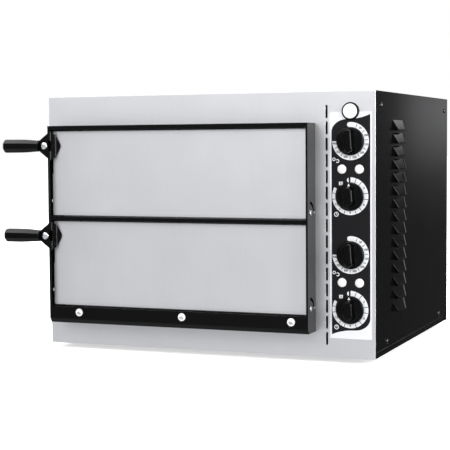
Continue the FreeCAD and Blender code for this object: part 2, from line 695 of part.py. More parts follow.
def make_door(deck):
    """The door's skin, inner pan and insulation, with its hinge plates, rivets and handle."""
    pivot_z = pivot_height(deck)
    wide = (d.door_left, d.door_right)
    high = (pivot_z - d.door_below, pivot_z + d.door_above)
    skin_rear = d.door_face + d.door_skin_depth
    plug_rear = skin_rear + d.door_plug_depth
    inner = rect(shrunk(wide, d.sheet), shrunk(high, d.sheet))
    plug_wide = shrunk(wide, d.door_plug_inset)
    plug_high = shrunk(high, d.door_plug_inset)
    plug_inner = rect(shrunk(plug_wide, d.sheet), shrunk(plug_high, d.sheet))

    skin = Piece(f"door_skin_{deck}")
    skin.pad("XZ_Plane", (skin_rear, d.door_face), outlines=[rect(wide, high)])
    skin.pocket("XZ_Plane", (skin_rear, d.door_face + d.sheet), outlines=[inner])
    node(skin.body, f"door_skin_{deck}")

    pan = Piece(f"door_inner_pan_{deck}")
    rim_front = skin_rear - d.sheet
    pan.pad("XZ_Plane", (skin_rear, rim_front), outlines=[inner])
    pan.pad("XZ_Plane", (skin_rear, plug_rear), outlines=[rect(plug_wide, plug_high)])
    pan.pocket("XZ_Plane", (rim_front, plug_rear - d.sheet), outlines=[plug_inner])
    node(pan.body, f"door_inner_pan_{deck}")

    wool = Piece(f"door_insulation_{deck}")
    wool.pad("XZ_Plane", (rim_front, d.door_face + d.sheet), outlines=[inner])
    wool.pad("XZ_Plane", (rim_front, plug_rear - d.sheet), outlines=[plug_inner])
    node(wool.body, f"door_insulation_{deck}")

    make_hinges(deck, wide, skin_rear)
    make_rivets(deck, wide, high, (d.door_face + skin_rear) / 2)
    make_handle(deck, pivot_z + d.handle_rise)


def make_hinges(deck, wide, skin_rear):
    """A plate at each end of the door, with the pivot's bore and a pin that runs in the surround's slot."""
    pivot_z = pivot_height(deck)
    low, top = pivot_z - d.hinge_below, pivot_z + d.hinge_above
    arm_y = d.pivot_y + d.guide_arm + d.hinge_arm_end
    hinges = []
    for side, edge, flange in ((-1, wide[0], d.surround_left), (1, wide[1], d.surround_right)):
        hinge = Piece(f"hinge_{deck}_{'left' if side < 0 else 'right'}")
        outer = edge + d.hinge_plate * side
        hinge.pad("YZ_Plane", (edge, outer), outlines=[[
            (d.door_face, low), (d.pivot_y + d.hinge_heel, low), (arm_y, pivot_z - d.hinge_arm_below),
            (arm_y, pivot_z + d.hinge_arm_above), (skin_rear, pivot_z + d.hinge_shoulder),
            (skin_rear, top), (d.door_face, top),
        ]])
        hinge.pocket("YZ_Plane", (edge, outer),
                     rings=[((d.pivot_y, pivot_z), d.pivot_radius + d.pivot_play)])
        hinge.pad("YZ_Plane", (outer, flange + d.guide_pin_reach * side),
                  rings=[((d.pivot_y + d.guide_arm, pivot_z), d.guide_radius)])
        hinges.append(hinge.body)
    node(group(f"door_hinges_{deck}_group", hinges), f"door_hinges_{deck}")


def make_rivets(deck, wide, high, rivet_y):
    """Three rivet heads on the door's top edge and three on its bottom edge."""
    bottom, top = high
    base, crown = d.rivet_radius, d.rivet_crown_radius
    rivets = []
    for step in (-1, 0, 1):
        spot = ((wide[0] + wide[1]) / 2 + d.rivet_pitch * step + d.rivet_offset, rivet_y)
        rivets.append(cone(f"rivet_{deck}_{step + 1}_bottom", "z", (bottom - d.rivet_head, bottom), spot,
                           (crown, base)))
        rivets.append(cone(f"rivet_{deck}_{step + 1}_top", "z", (top, top + d.rivet_head), spot,
                           (base, crown)))
    node(group(f"door_rivets_{deck}_group", rivets), f"door_rivets_{deck}")


def make_handle(deck, middle):
    """A joggled diamond-shaped bracket that steps over the surround, with a faceted grip screwed to it."""
    ear_rear = d.ear_front + d.ear_sheet
    foot_front = d.door_face - d.ear_sheet
    low, top = middle - d.ear_half, middle + d.ear_half
    screw_hole = ((d.handle_screw_x, middle), d.handle_screw_radius)
    bracket = Piece(f"handle_bracket_{deck}")
    bracket.pad("XY_Plane", (low, top), outlines=[[
        (d.ear_tip_x, d.ear_front), (d.joggle_left, d.ear_front),
        (d.joggle_right + d.joggle_front_round, foot_front), (d.ear_right_x, foot_front),
        (d.ear_right_x, d.door_face), (d.joggle_right - d.joggle_rear_round, d.door_face),
        (d.joggle_left - d.joggle_back_round, ear_rear), (d.ear_tip_x, ear_rear),
    ]])
    outer = rect(shrunk((d.ear_tip_x, d.ear_right_x), -2), shrunk((low, top), -2))
    peak_left, peak_right = d.ear_peak_x - d.ear_peak_flat, d.ear_peak_x + d.ear_peak_flat
    diamond = [
        (d.ear_tip_x, middle - d.ear_tip_half), (peak_left, low), (peak_right, low),
        (d.ear_right_x, middle - d.ear_right_half), (d.ear_right_x, middle + d.ear_right_half),
        (peak_right, top), (peak_left, top), (d.ear_tip_x, middle + d.ear_tip_half),
    ]
    bracket.pocket("XZ_Plane", (d.ear_front - 1, d.door_face + 1), outlines=[outer, diamond])
    bracket.pocket("XZ_Plane", (d.ear_front - 1, ear_rear + 1), rings=[screw_hole])
    node(bracket.body, f"handle_bracket_{deck}")

    grip = Piece(f"handle_grip_{deck}")
    neck, tip = d.ear_tip_x, d.grip_tip_x
    # level along the grip and width across its flats
    sections = [
        (neck, d.grip_neck_flats), (neck - 3, d.grip_neck_flats), (neck - 28, d.grip_end_flats * 0.96),
        (tip + 5, d.grip_end_flats), (tip + 1.6, d.grip_end_flats * 0.82), (tip, d.grip_end_flats * 0.55),
    ]
    grip.loft("Additive", "YZ_Plane", [
        (level, octagon(d.grip_axis_y, middle, flats)) for level, flats in sections])
    tang_y = (ear_rear, ear_rear + d.tang_depth)
    grip.pad("YZ_Plane", (neck, d.tang_end_x),
             outlines=[rect(tang_y, (middle - d.tang_half, middle + d.tang_half))])
    grip.pocket("XZ_Plane", tang_y, rings=[screw_hole])
    node(grip.body, f"handle_grip_{deck}")
    node(screw(f"handle_screw_{deck}", "y", d.ear_front, (d.handle_screw_x, middle), HANDLE_SCREW_HEAD,
               HANDLE_SCREW_SHANK, -1), f"handle_screw_{deck}")


def octagon(centre_u, centre_v, flats):
    """An octagon with a flat to the front, given across its flats."""
    radius = as_size(flats) / (2 * math.cos(math.pi / 8))
    angles = [math.radians(22.5 + 45 * index) for index in range(8)]
    return [(centre_u + radius * math.cos(angle), centre_v + radius * math.sin(angle)) for angle in angles]


# ---------------------------------------------------------------- baking chambers

def make_chamber(deck):
    """The folded liner with its mouth flange and two ledges, the baking stone and the heating elements."""
    floor, ceiling = chamber_span(deck)
    outer_z = (floor - d.sheet, ceiling + d.sheet)
    rear = d.chamber_back + d.sheet
    liner = Piece(f"chamber_{deck}")
    liner.pad("XZ_Plane", (rear, d.mouth_front), outlines=[rect(liner_x, outer_z)])
    liner.pad("XZ_Plane", (d.mouth_front + d.sheet, d.mouth_front),
              outlines=[rect(shrunk(liner_x, -d.mouth_flange), shrunk(outer_z, -d.mouth_flange))])
    liner.pocket("XZ_Plane", (d.mouth_front, d.chamber_back), outlines=[rect(chamber_x, (floor, ceiling))])
    ledge_top = floor + d.stone_rise
    for ledge in ((chamber_x[0] - d.sheet / 2, chamber_x[0] + d.ledge_width),
                  (chamber_x[1] - d.ledge_width, chamber_x[1] + d.sheet / 2)):
        liner.pad("XZ_Plane", (d.chamber_back + d.sheet / 2, panel_front + d.ledge_front_gap),
                  outlines=[rect(ledge, (ledge_top - d.ledge_sheet, ledge_top))])
    terminals = [((x, z), d.element_radius) for x in element_ends() for z in element_heights(deck)]
    liner.pocket("XZ_Plane", (d.chamber_back, rear), rings=terminals)
    liner.pocket("YZ_Plane", (chamber_x[1], liner_x[1]), rings=[(bulb_spot(deck), d.bulb_radius)])
    node(liner.body, f"chamber_{deck}")

    stone = Piece(f"baking_stone_{deck}")
    stone.pad("XY_Plane", (ledge_top, ledge_top + d.stone_thickness), outlines=[rect(
        shrunk(chamber_x, d.stone_gap), (panel_front + d.stone_front_gap, d.chamber_back - d.stone_gap))])
    node(stone.body, f"baking_stone_{deck}")

    bars = [element(f"element_{deck}_{index}", height) for index, height in enumerate(element_heights(deck))]
    node(group(f"heating_elements_{deck}_group", bars), f"heating_elements_{deck}")


def element_heights(deck):
    floor, ceiling = chamber_span(deck)
    return (floor + d.element_rise, ceiling - d.element_drop)


def element_legs():
    """The x of the six straight legs of a heating element."""
    middle = (chamber_x[0] + chamber_x[1]) / 2
    return [middle + d.element_turn * (2 * index - 5) for index in range(6)]


def element_ends():
    legs = element_legs()
    return (legs[0], legs[-1])


def element(name, height):
    """A sheathed bar bent into three hairpins, both ends through the chamber's back wall."""
    legs = element_legs()
    front_turn = panel_front + d.element_front_gap + d.element_turn
    rear_turn = d.chamber_back - d.element_back_gap - d.element_turn
    solids = []
    for index, leg in enumerate(legs):
        rear = d.element_end_y if index in (0, 5) else rear_turn
        solids.append(rod(f"{name}_leg_{index}", "y", (front_turn, rear), (leg, height), d.element_radius))
    for index in range(5):
        at_front = index % 2 == 0
        bend = doc.addObject("Part::Torus", f"{name}_bend_{index}")
        bind(bend, "Radius1", d.element_turn)
        bind(bend, "Radius2", d.element_radius)
        bend.Angle3 = 180
        bend.Placement.Rotation = Rotation(Vector(0, 0, 1), 180 if at_front else 0)
        bind(bend, "Placement.Base.x", (legs[index] + legs[index + 1]) / 2)
        bind(bend, "Placement.Base.y", front_turn if at_front else rear_turn)
        bind(bend, "Placement.Base.z", height)
        solids.append(bend)
    return fuse(name, solids)


def make_insulation():
    """Boards under, between and over the chambers, and panels at their sides and rear."""
    rear = d.chamber_back + d.sheet
    lower, upper = chamber_span("lower"), chamber_span("upper")
    board_x = (inner_x[0] + SCREW_SHANK[1], d.bulkhead_left - d.wool_gap)
    run = (front_ring_rear + d.ring_gap, rear + d.rear_insulation)
    layers = [
        box("wool_bottom", board_x, run, (d.beam_top, lower[0] - d.sheet)),
        box("wool_middle", liner_x, run, (lower[1] + d.sheet, upper[0] - d.sheet)),
        box("wool_top", board_x, run, (upper[1] + d.sheet, inside_top - d.sheet)),
    ]
    node(group("wool_layers", layers), "insulation_layers")

    tall = (lower[0] - d.sheet, upper[1] + d.sheet)
    walls = [box("wool_left", (board_x[0], liner_x[0]), run, tall)]
    tubes = [rod(f"bulb_way_{deck}", "x", (liner_x[1] - 1, board_x[1] + 1), bulb_spot(deck), d.bulb_radius)
             for deck in DECKS]
    walls.append(cut("wool_right", box("wool_right_block", (liner_x[1], board_x[1]), run, tall), tubes))
    for deck in DECKS:
        floor, ceiling = chamber_span(deck)
        block = box(f"wool_rear_{deck}_block", liner_x, (rear, run[1]), (floor - d.sheet, ceiling + d.sheet))
        ways = []
        for x in element_ends():
            for z in element_heights(deck):
                name = f"terminal_way_{deck}_{len(ways)}"
                ways.append(rod(name, "y", (rear - 1, run[1] + 1), (x, z), d.element_radius))
        walls.append(cut(f"wool_rear_{deck}", block, ways))
    node(group("wool_walls", walls), "insulation_walls")

    beams = []
    low, top = inside_bottom, d.beam_top
    for index, front in enumerate((d.beam_front_y, d.beam_rear_y)):
        beam = Piece(f"beam_{index}")
        rear = front + d.beam_width
        beam.pad("YZ_Plane", shrunk((inner_x[0], d.bulkhead_left), d.beam_end_gap), outlines=[[
            (front, low), (front + d.beam_wall, low), (front + d.beam_wall, top - d.beam_wall),
            (rear - d.beam_wall, top - d.beam_wall), (rear - d.beam_wall, low), (rear, low), (rear, top),
            (front, top),
        ]])
        beams.append(beam.body)
    node(group("beam_group", beams), "support_beams")


# ---------------------------------------------------------------- controls

def make_label():
    """Thin plate with the scales, pierced for bushes and lamps and notched round the power button."""
    piece = Piece("control_label")
    piece.pad("XZ_Plane", (panel_front, panel_front - d.label_thickness),
              outlines=[rect((d.label_left, d.label_right), (d.label_bottom, d.label_top))])
    holes = [((d.control_x, d.button_z), d.label_notch_radius)]
    holes += [(spot, d.bush_radius) for spot in dial_spots()]
    holes += [(spot, d.lamp_barrel_radius) for spot in lamp_spots()]
    piece.pocket("XZ_Plane", (panel_front, panel_front - d.label_thickness), rings=holes)
    node(piece.body, "control_label")


def make_power_button():
    """A round push switch: bezel with the switch behind it, and the lit cap that travels inwards."""
    spot = (d.control_x, d.button_z)
    bezel_front = panel_front - d.bezel_rise
    # the neck fills the panel's hole and joins the bezel to the switch body behind it
    neck_rear = panel_front + d.mouth_play
    stem_rear = panel_front + d.cap_stem_depth
    well_rear = stem_rear + d.button_travel * 2
    well = (spot, d.switch_well_radius)
    housing = Piece("power_switch")
    housing.pad("XZ_Plane", (panel_front, bezel_front),
                rings=[(spot, d.bezel_radius), (spot, d.bezel_mouth_radius)])
    housing.pad("XZ_Plane", (neck_rear, panel_front), rings=[(spot, d.button_hole_radius), well])
    housing.pad("XZ_Plane", (panel_front - d.bezel_floor, panel_front),
                rings=[(spot, d.bezel_neck_radius), well])
    housing.pad("XZ_Plane", (neck_rear, panel_front + d.switch_depth), rings=[(spot, d.switch_radius)])
    housing.pocket("XZ_Plane", (neck_rear, well_rear), rings=[well])
    node(housing.body, "power_switch")
    cap = Piece("power_button_cap")
    cap_front = bezel_front - d.cap_proud
    cap_rear = cap_front + d.cap_rim
    cap.pad("XZ_Plane", (cap_rear, cap_front), rings=[(spot, d.cap_radius)])
    cap.pad("XZ_Plane", (cap_rear, stem_rear), rings=[(spot, d.cap_stem_radius)])
    node(cap.body, "power_button_cap")


def make_control(kind, deck):
    """The fixed body of a thermostat or timer with its bush, and the knob on its turning spindle."""
    spot = (d.control_x, control_height(kind, deck))
    half, depth = getattr(d, f"{kind}_case_half"), getattr(d, f"{kind}_case_depth")
    bush_front = panel_front - d.bush_length
    case = Piece(f"{kind}_case_{deck}")
    box_x, box_z = (spot[0] - half, spot[0] + half), (spot[1] - half, spot[1] + half)
    case.pad("XZ_Plane", (panel_rear, panel_rear + depth), outlines=[rect(box_x, box_z)])
    case.pad("XZ_Plane", (panel_rear, bush_front), rings=[(spot, d.bush_radius)])
    case.pocket("XZ_Plane", (bush_front, panel_rear + d.bush_bore_depth),
                rings=[(spot, d.spindle_radius + d.spindle_play)])
    solids = [case.body]
    if kind == "thermostat":
        bulb_x = (d.bulb_x, bulkhead_right + d.bulb_tail)
        solids.append(rod(f"bulb_{deck}", "x", bulb_x, bulb_spot(deck), d.bulb_radius))
    node(group(f"{kind}_{deck}_group", solids), f"{kind}_{deck}")

    spindle = Piece(f"{kind}_spindle_{deck}")
    spindle_front = d.knob_front + d.spindle_cover
    spindle.pad("XZ_Plane", (panel_rear + d.spindle_foot, spindle_front), rings=[(spot, d.spindle_radius)])
    node(spindle.body, f"{kind}_spindle_{deck}")

    knob = Piece(f"{kind}_knob_{deck}")
    skirt_front = d.knob_back - d.knob_skirt_depth
    bush_room = bush_front - 1
    width, length = getattr(d, f"{kind}_grip_width"), getattr(d, f"{kind}_grip_length")
    knob.pad("XZ_Plane", (d.knob_back, skirt_front), rings=[(spot, d.knob_skirt_radius)])
    knob.pad("XZ_Plane", (skirt_front, d.knob_front), stadiums=[(spot, width, length)])
    knob.pocket("XZ_Plane", (d.knob_back, bush_room), rings=[(spot, d.bush_radius + d.knob_bush_play)])
    knob.pocket("XZ_Plane", (bush_room, spindle_front), rings=[(spot, d.spindle_radius)])
    node(knob.body, f"{kind}_knob_{deck}")


def make_lamps():
    """Four neon lamps with pale domed lenses."""
    lens_rear = panel_front - d.label_thickness
    lens_y = (lens_rear - d.lamp_dome, lens_rear)
    barrel_y = (lens_rear, panel_rear + d.lamp_barrel_length)
    lamps = []
    for index, spot in enumerate(lamp_spots()):
        name = f"lamp_{index}"
        lamps.append(fuse(name, [
            cone(name + "_lens", "y", lens_y, spot, (d.lamp_crown_radius, d.lamp_radius)),
            rod(name + "_barrel", "y", barrel_y, spot, d.lamp_barrel_radius),
        ]))
    node(group("lamp_group", lamps), "pilot_lamps")


# ---------------------------------------------------------------- electrical parts

def make_services():
    """Supply gland, bonding stud and terminal block."""
    spot = (d.gland_x, d.gland_z)
    nut_end = back_outer + d.gland_nut_height
    thread_end = back_inner - d.gland_thread_length
    blank = fuse("gland_blank", [
        rod("gland_nut", "y", (back_outer, nut_end), spot, d.gland_nut_radius),
        cone("gland_cap", "y", (nut_end, d.gland_end), spot, (d.gland_cap_radius, d.gland_mouth_radius)),
        rod("gland_thread", "y", (thread_end, back_outer), spot, d.gland_mouth_radius),
    ])
    bore = rod("gland_bore_hole", "y", (thread_end - 1, d.gland_end + 1), spot, d.gland_bore)
    node(cut("gland", blank, [bore]), "cable_gland")

    spot = (d.stud_x, d.stud_z)
    node(fuse("stud", [
        rod("stud_shank", "y", (back_inner - d.stud_tail, d.stud_end), spot, d.stud_radius),
        rod("stud_nut", "y", (back_outer, back_outer + d.stud_nut_height), spot, d.stud_nut_radius),
    ]), "bonding_stud")

    block = Piece("terminal_block")
    block_front = bulkhead_right + d.terminal_depth
    base_y, base_z = d.terminal_y, d.terminal_z
    block.pad("YZ_Plane", (bulkhead_right, block_front), outlines=[
        rect((base_y, base_y + d.terminal_length), (base_z, base_z + d.terminal_height))])
    well = block.pocket("YZ_Plane", (block_front, bulkhead_right + d.terminal_wall), rings=[
        ((base_y + d.well_inset, base_z + d.terminal_height / 2), d.well_radius)])
    block.line_up([well], "Y_Axis", d.well_count, d.well_pitch)
    node(block.body, "terminal_block")


def make_loom():
    """Wires bound in one sleeve, from the terminal block up, forward along the wall and down."""
    x, rear_y, front_y = bulkhead_right + d.loom_clearance, d.wire_hole_y, d.loom_front_y
    pieces = [
        rod("loom_rise", "z", (d.loom_bottom, d.loom_top), (x, rear_y), d.loom_radius),
        rod("loom_run", "y", (front_y, rear_y), (x, d.loom_top), d.loom_radius),
        rod("loom_fall", "z", (d.loom_front_bottom, d.loom_top), (x, front_y), d.loom_radius),
    ]
    for index, knee_y in enumerate((rear_y, front_y)):
        knee = doc.addObject("Part::Sphere", f"loom_knee_{index}")
        bind(knee, "Radius", d.loom_radius)
        bind(knee, "Placement.Base.x", x)
        bind(knee, "Placement.Base.y", knee_y)
        bind(knee, "Placement.Base.z", d.loom_top)
        pieces.append(knee)
    node(fuse("loom", pieces), "wiring_loom")


# ---------------------------------------------------------------- build

def build():
    make_front_panel()
    make_side_covers()
    make_trays()
    make_bulkhead()
    make_feet()
    make_case_screws()
    make_surround()
    make_surround_fixings()
    make_pivot_screws()
    make_label()
    make_power_button()
    make_lamps()
    for deck in DECKS:
        make_door(deck)
        make_chamber(deck)
        make_control("thermostat", deck)
        make_control("timer", deck)
    make_insulation()
    make_services()
    make_loom()
    doc.recompute()


def check():
    """Stop if a feature failed, a cut removed nothing, or a sub-part has no sound shape."""
    faults = []
    for thing in doc.Objects:
        if "Invalid" in thing.State or "Error" in thing.State:
            faults.append(f"{thing.Name} is {thing.State}")
        if thing.TypeId in ("PartDesign::Pocket", "PartDesign::Groove", "PartDesign::SubtractiveLoft"):
            if thing.Shape.Volume > thing.BaseFeature.Shape.Volume - 0.01:
                faults.append(f"{thing.Name} removes nothing")
        if thing.TypeId in ("PartDesign::Pad", "PartDesign::AdditiveLoft") and thing.BaseFeature:
            if thing.Shape.Volume < thing.BaseFeature.Shape.Volume + 0.01:
                faults.append(f"{thing.Name} adds nothing")
    for part in nodes:
        if part.Shape.isNull() or not part.Shape.isValid() or not part.Shape.Solids:
            faults.append(f"{part.Label} has no sound solid")
    if faults:
        raise RuntimeError("; ".join(faults))


build()
check()
os.makedirs("parts", exist_ok=True)
for part in nodes:
    part.Shape.exportStep(os.path.join("parts", f"{part.Label}.step"))
print(f"{len(nodes)} nodes written")
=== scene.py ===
"""Looks of the two-deck countertop pizza oven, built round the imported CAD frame.

Geometry is drawn in millimetres, in the frame's own axes, and scaled to metres when a piece is finished.
"""

import json
import math

import bmesh
import bpy
from mathutils import Matrix, Vector

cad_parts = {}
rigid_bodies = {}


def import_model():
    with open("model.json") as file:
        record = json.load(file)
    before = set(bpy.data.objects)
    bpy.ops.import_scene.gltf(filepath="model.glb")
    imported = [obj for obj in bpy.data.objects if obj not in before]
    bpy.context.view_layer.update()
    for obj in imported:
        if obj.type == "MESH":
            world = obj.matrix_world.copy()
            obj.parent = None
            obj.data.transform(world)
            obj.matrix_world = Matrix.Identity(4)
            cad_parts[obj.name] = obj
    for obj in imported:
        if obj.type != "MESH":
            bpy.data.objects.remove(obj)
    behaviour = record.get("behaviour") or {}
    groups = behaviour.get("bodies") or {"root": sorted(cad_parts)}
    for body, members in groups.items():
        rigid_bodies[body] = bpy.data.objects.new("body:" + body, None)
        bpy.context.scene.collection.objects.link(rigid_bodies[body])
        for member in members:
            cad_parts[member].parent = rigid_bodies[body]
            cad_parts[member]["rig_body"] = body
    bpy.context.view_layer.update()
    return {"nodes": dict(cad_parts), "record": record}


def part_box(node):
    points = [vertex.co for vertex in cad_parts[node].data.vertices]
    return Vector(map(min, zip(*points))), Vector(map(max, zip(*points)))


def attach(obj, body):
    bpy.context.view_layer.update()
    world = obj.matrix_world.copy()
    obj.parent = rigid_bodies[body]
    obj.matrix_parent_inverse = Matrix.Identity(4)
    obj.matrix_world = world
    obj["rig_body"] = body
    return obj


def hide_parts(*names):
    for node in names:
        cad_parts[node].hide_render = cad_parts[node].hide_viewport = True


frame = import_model()

MM = 0.001
DECKS = ("lower", "upper")
SLOT_OF = {part["node"]: part["material_slot"] for part in frame["record"]["subparts"]}
X, Y, Z = Vector((1, 0, 0)), Vector((0, 1, 0)), Vector((0, 0, 1))
# drawing planes: the world directions of a plan's two axes and of its outward depth
SIDES = {"front": (X, Z, -Y), "back": (X, Z, Y), "right": (Y, Z, X), "left": (Y, Z, -X), "top": (X, Y, Z)}


# ---------------------------------------------------------------- camera, light and floor

CAMERA_PLACE = (0.8544, -2.1895, 0.3426)
CAMERA_YAW, CAMERA_PITCH, CAMERA_ROLL = 22.03, 3.51, -0.42  # degrees; a positive pitch looks down
CAMERA_LENS, CAMERA_SENSOR = 105.6, 36


def make_camera():
    data = bpy.data.cameras.new("camera")
    data.sensor_width = CAMERA_SENSOR
    data.lens = CAMERA_LENS
    camera = bpy.data.objects.new("camera", data)
    yaw, pitch, roll = (math.radians(angle) for angle in (CAMERA_YAW, CAMERA_PITCH, CAMERA_ROLL))
    turn = Matrix.Rotation(yaw, 4, "Z") @ Matrix.Rotation(math.pi / 2 - pitch, 4, "X")
    camera.matrix_world = Matrix.Translation(CAMERA_PLACE) @ turn @ Matrix.Rotation(roll, 4, "Z")
    bpy.context.scene.collection.objects.link(camera)
    bpy.context.scene.camera = camera


def make_area_light(name, place, target, size, power):
    data = bpy.data.lights.new(name, "AREA")
    data.shape = "RECTANGLE"
    data.size, data.size_y = size
    data.energy = power
    light = bpy.data.objects.new(name, data)
    light.location = place
    light.rotation_euler = (Vector(target) - Vector(place)).to_track_quat("-Z", "Y").to_euler()
    light.visible_camera = False
    bpy.context.scene.collection.objects.link(light)


# brightness behind the oven (WALL) and before it (FRONT): (sine of the height above the horizon, strength)
WALL = ((-0.5, 0.8), (-0.3, 0.7), (-0.22, 0.06), (-0.065, 0.06), (-0.043, 0.1), (-0.03, 0.13), (-0.02, 0.2),
        (-0.01, 0.33), (0.006, 0.5), (0.025, 0.67), (0.06, 0.4), (0.1, 0.04), (0.14, 0.05), (0.16, 0.11),
        (0.184, 0.2), (0.193, 0.4), (0.2, 1.3), (0.5, 1.2))
FRONT = ((-0.5, 0.85), (-0.25, 0.82), (-0.12, 0.5), (0.05, 0.5), (0.16, 0.82), (0.5, 0.85))
WALL_EDGE = math.radians(15)  # the wall is bright up to this far right of straight back
WALL_EDGE_BLUR = 0.06
BEYOND_WALL = 0.2  # what is left of its brightness beyond that edge
# the front is brightest in this direction and fades to nothing where the cosine of the angle to it is this
FRONT_DIRECTION, FRONT_START = (0.3, -0.95, 0), -0.1
SKY_TINT = (0.97, 0.98, 1.0, 1)


def make_world():
    """Studio surroundings: white to the camera; for the lighting, bands of brightness behind and before."""
    world = bpy.data.worlds.new("studio")
    world.use_nodes = True
    tree = world.node_tree
    tree.nodes.clear()
    new, link = tree.nodes.new, tree.links.new
    direction = new("ShaderNodeTexCoord").outputs["Generated"]

    def remap(value, low, high, dim, bright):
        ramp = new("ShaderNodeMapRange")
        ramp.interpolation_type = "SMOOTHSTEP"
        link(value, ramp.inputs["Value"])
        for key, number in (("From Min", low), ("From Max", high), ("To Min", dim), ("To Max", bright)):
            ramp.inputs[key].default_value = number
        return ramp.outputs["Result"]

    def toward(vector, low, high, dim, bright):
        dot = new("ShaderNodeVectorMath")
        dot.operation = "DOT_PRODUCT"
        link(direction, dot.inputs[0])
        dot.inputs[1].default_value = vector
        return remap(dot.outputs["Value"], low, high, dim, bright)

    def combine(operation, first, second):
        joined = new("ShaderNodeMath")
        joined.operation = operation
        link(first, joined.inputs[0])
        link(second, joined.inputs[1])
        return joined.outputs[0]

    apart = new("ShaderNodeSeparateXYZ")
    link(direction, apart.inputs[0])

    def banded(levels):
        """Brightness at the heights in levels, and blended between them."""
        height = new("ShaderNodeMapRange")
        height.inputs["From Min"].default_value = levels[0][0]
        height.inputs["From Max"].default_value = levels[-1][0]
        link(apart.outputs["Z"], height.inputs["Value"])
        ramp = new("ShaderNodeValToRGB")
        link(height.outputs["Result"], ramp.inputs["Fac"])
        reach = levels[-1][0] - levels[0][0]
        while len(ramp.color_ramp.elements) < len(levels):
            ramp.color_ramp.elements.new(0.5)
        for element, (level, strength) in zip(ramp.color_ramp.elements, levels):
            element.position = (level - levels[0][0]) / reach
        for element, (level, strength) in zip(ramp.color_ramp.elements, levels):
            element.color = (strength, strength, strength, 1)
        return ramp.outputs["Color"]

    beyond_edge = (math.cos(WALL_EDGE), -math.sin(WALL_EDGE), 0)
    sideways = toward(beyond_edge, -WALL_EDGE_BLUR, WALL_EDGE_BLUR, 1.0, BEYOND_WALL)
    wall = combine("MULTIPLY", banded(WALL), sideways)
    front = combine("MULTIPLY", banded(FRONT), toward(FRONT_DIRECTION, FRONT_START, 1.0, 0.0, 1.0))
    glow = new("ShaderNodeBackground")
    glow.inputs["Color"].default_value = SKY_TINT
    link(combine("MAXIMUM", front, wall), glow.inputs["Strength"])
    plain = new("ShaderNodeBackground")
    plain.inputs["Color"].default_value = (1, 1, 1, 1)
    seen = new("ShaderNodeLightPath").outputs["Is Camera Ray"]
    mix = new("ShaderNodeMixShader")
    link(seen, mix.inputs["Fac"])
    link(glow.outputs[0], mix.inputs[1])
    link(plain.outputs[0], mix.inputs[2])
    link(mix.outputs[0], new("ShaderNodeOutputWorld").inputs["Surface"])
    bpy.context.scene.world = world


# soft boxes: (name, place, what it faces, width and height, power in watts)
LIGHTS = (
    ("key", (-0.3, -2.6, 1.7), (0, 0, 0.25), (1.8, 1.0), 20),
    ("overhead", (0.1, -0.1, 2.3), (0.1, -0.1, 0), (1.6, 1.0), 30),
    ("right_strip", (2.4, -0.95, 0.6), (0.2, 0, 0.25), (0.35, 1.6), 44),
    ("right_wall", (2.2, 0.75, 0.6), (0.3, 0, 0.25), (1.4, 1.0), 45),
    ("left_strip", (-2.4, -0.75, 0.5), (0, -0.2, 0.25), (0.3, 1.3), 18),
    ("upper_left", (-1.15, -0.35, 1.67), (-0.32, -0.3, 0.3), (0.7, 1.0), 9),
    ("fill", (1.8, -2.4, 0.7), (0, 0, 0.2), (1.4, 1.2), 12),
    ("rear", (-0.3, 2.6, 1.8), (0, 0, 0.25), (1.4, 0.8), 20),
    ("rear_left", (-1.8, 1.8, 1.5), (0, 0, 0.2), (1.2, 1.0), 16),
)
FLOOR_REACH, FLOOR_GLOW = 30, 0.6
FLAG_LEFT, FLAG_RIGHT, FLAG_PLACE, FLAG_FOOT, FLAG_TOP = 0.57, 1.5, 1, -0.5, 1.2
FLAG_GLOW = 0.04


def make_screen(name, corners, finish):
    """One flat four-cornered sheet of the studio, which isn't part of the oven."""
    mesh = bpy.data.meshes.new(name)
    mesh.from_pydata(corners, [], [(0, 1, 2, 3)])
    screen = bpy.data.objects.new(name, mesh)
    bpy.context.scene.collection.objects.link(screen)
    mesh.materials.append(finish)
    return screen


def make_floor():
    reach = FLOOR_REACH
    paint = surface("floor_paint", (0.93, 0.93, 0.93), 0.01, 0.8, 0.05, (3, 3, 3), 0,
                    Emission_Color=(1, 1, 1, 1), Emission_Strength=FLOOR_GLOW)
    corners = [(-reach, -reach, 0), (reach, -reach, 0), (reach, reach, 0), (-reach, reach, 0)]
    floor = make_screen("floor", corners, paint)
    floor.visible_glossy = floor.visible_diffuse = False


def make_flag():
    """A dark flag behind the oven's right. It shows only in reflections, such as the right side cover's."""
    cloth = surface("flag_cloth", (0.002, 0.002, 0.002), 0.01, 0.9, 0.05, (3, 3, 3), 0,
                    Emission_Color=(1, 1, 1, 1), Emission_Strength=FLAG_GLOW, Specular_IOR_Level=0)
    corners = [(FLAG_LEFT, FLAG_PLACE, FLAG_FOOT), (FLAG_RIGHT, FLAG_PLACE, FLAG_FOOT),
               (FLAG_RIGHT, FLAG_PLACE, FLAG_TOP), (FLAG_LEFT, FLAG_PLACE, FLAG_TOP)]
    flag = make_screen("flag", corners, cloth)
    flag.visible_camera = flag.visible_diffuse = flag.visible_shadow = False


def make_studio():
    make_world()
    for light in LIGHTS:
        make_area_light(*light)
    bpy.context.scene.view_settings.view_transform = "Standard"
    make_floor()
    make_flag()


# ---------------------------------------------------------------- materials

NOISE_RANGE = (0.3, 0.7)  # the usual low and high of the noise
BLOTCH = (18, 18, 18)


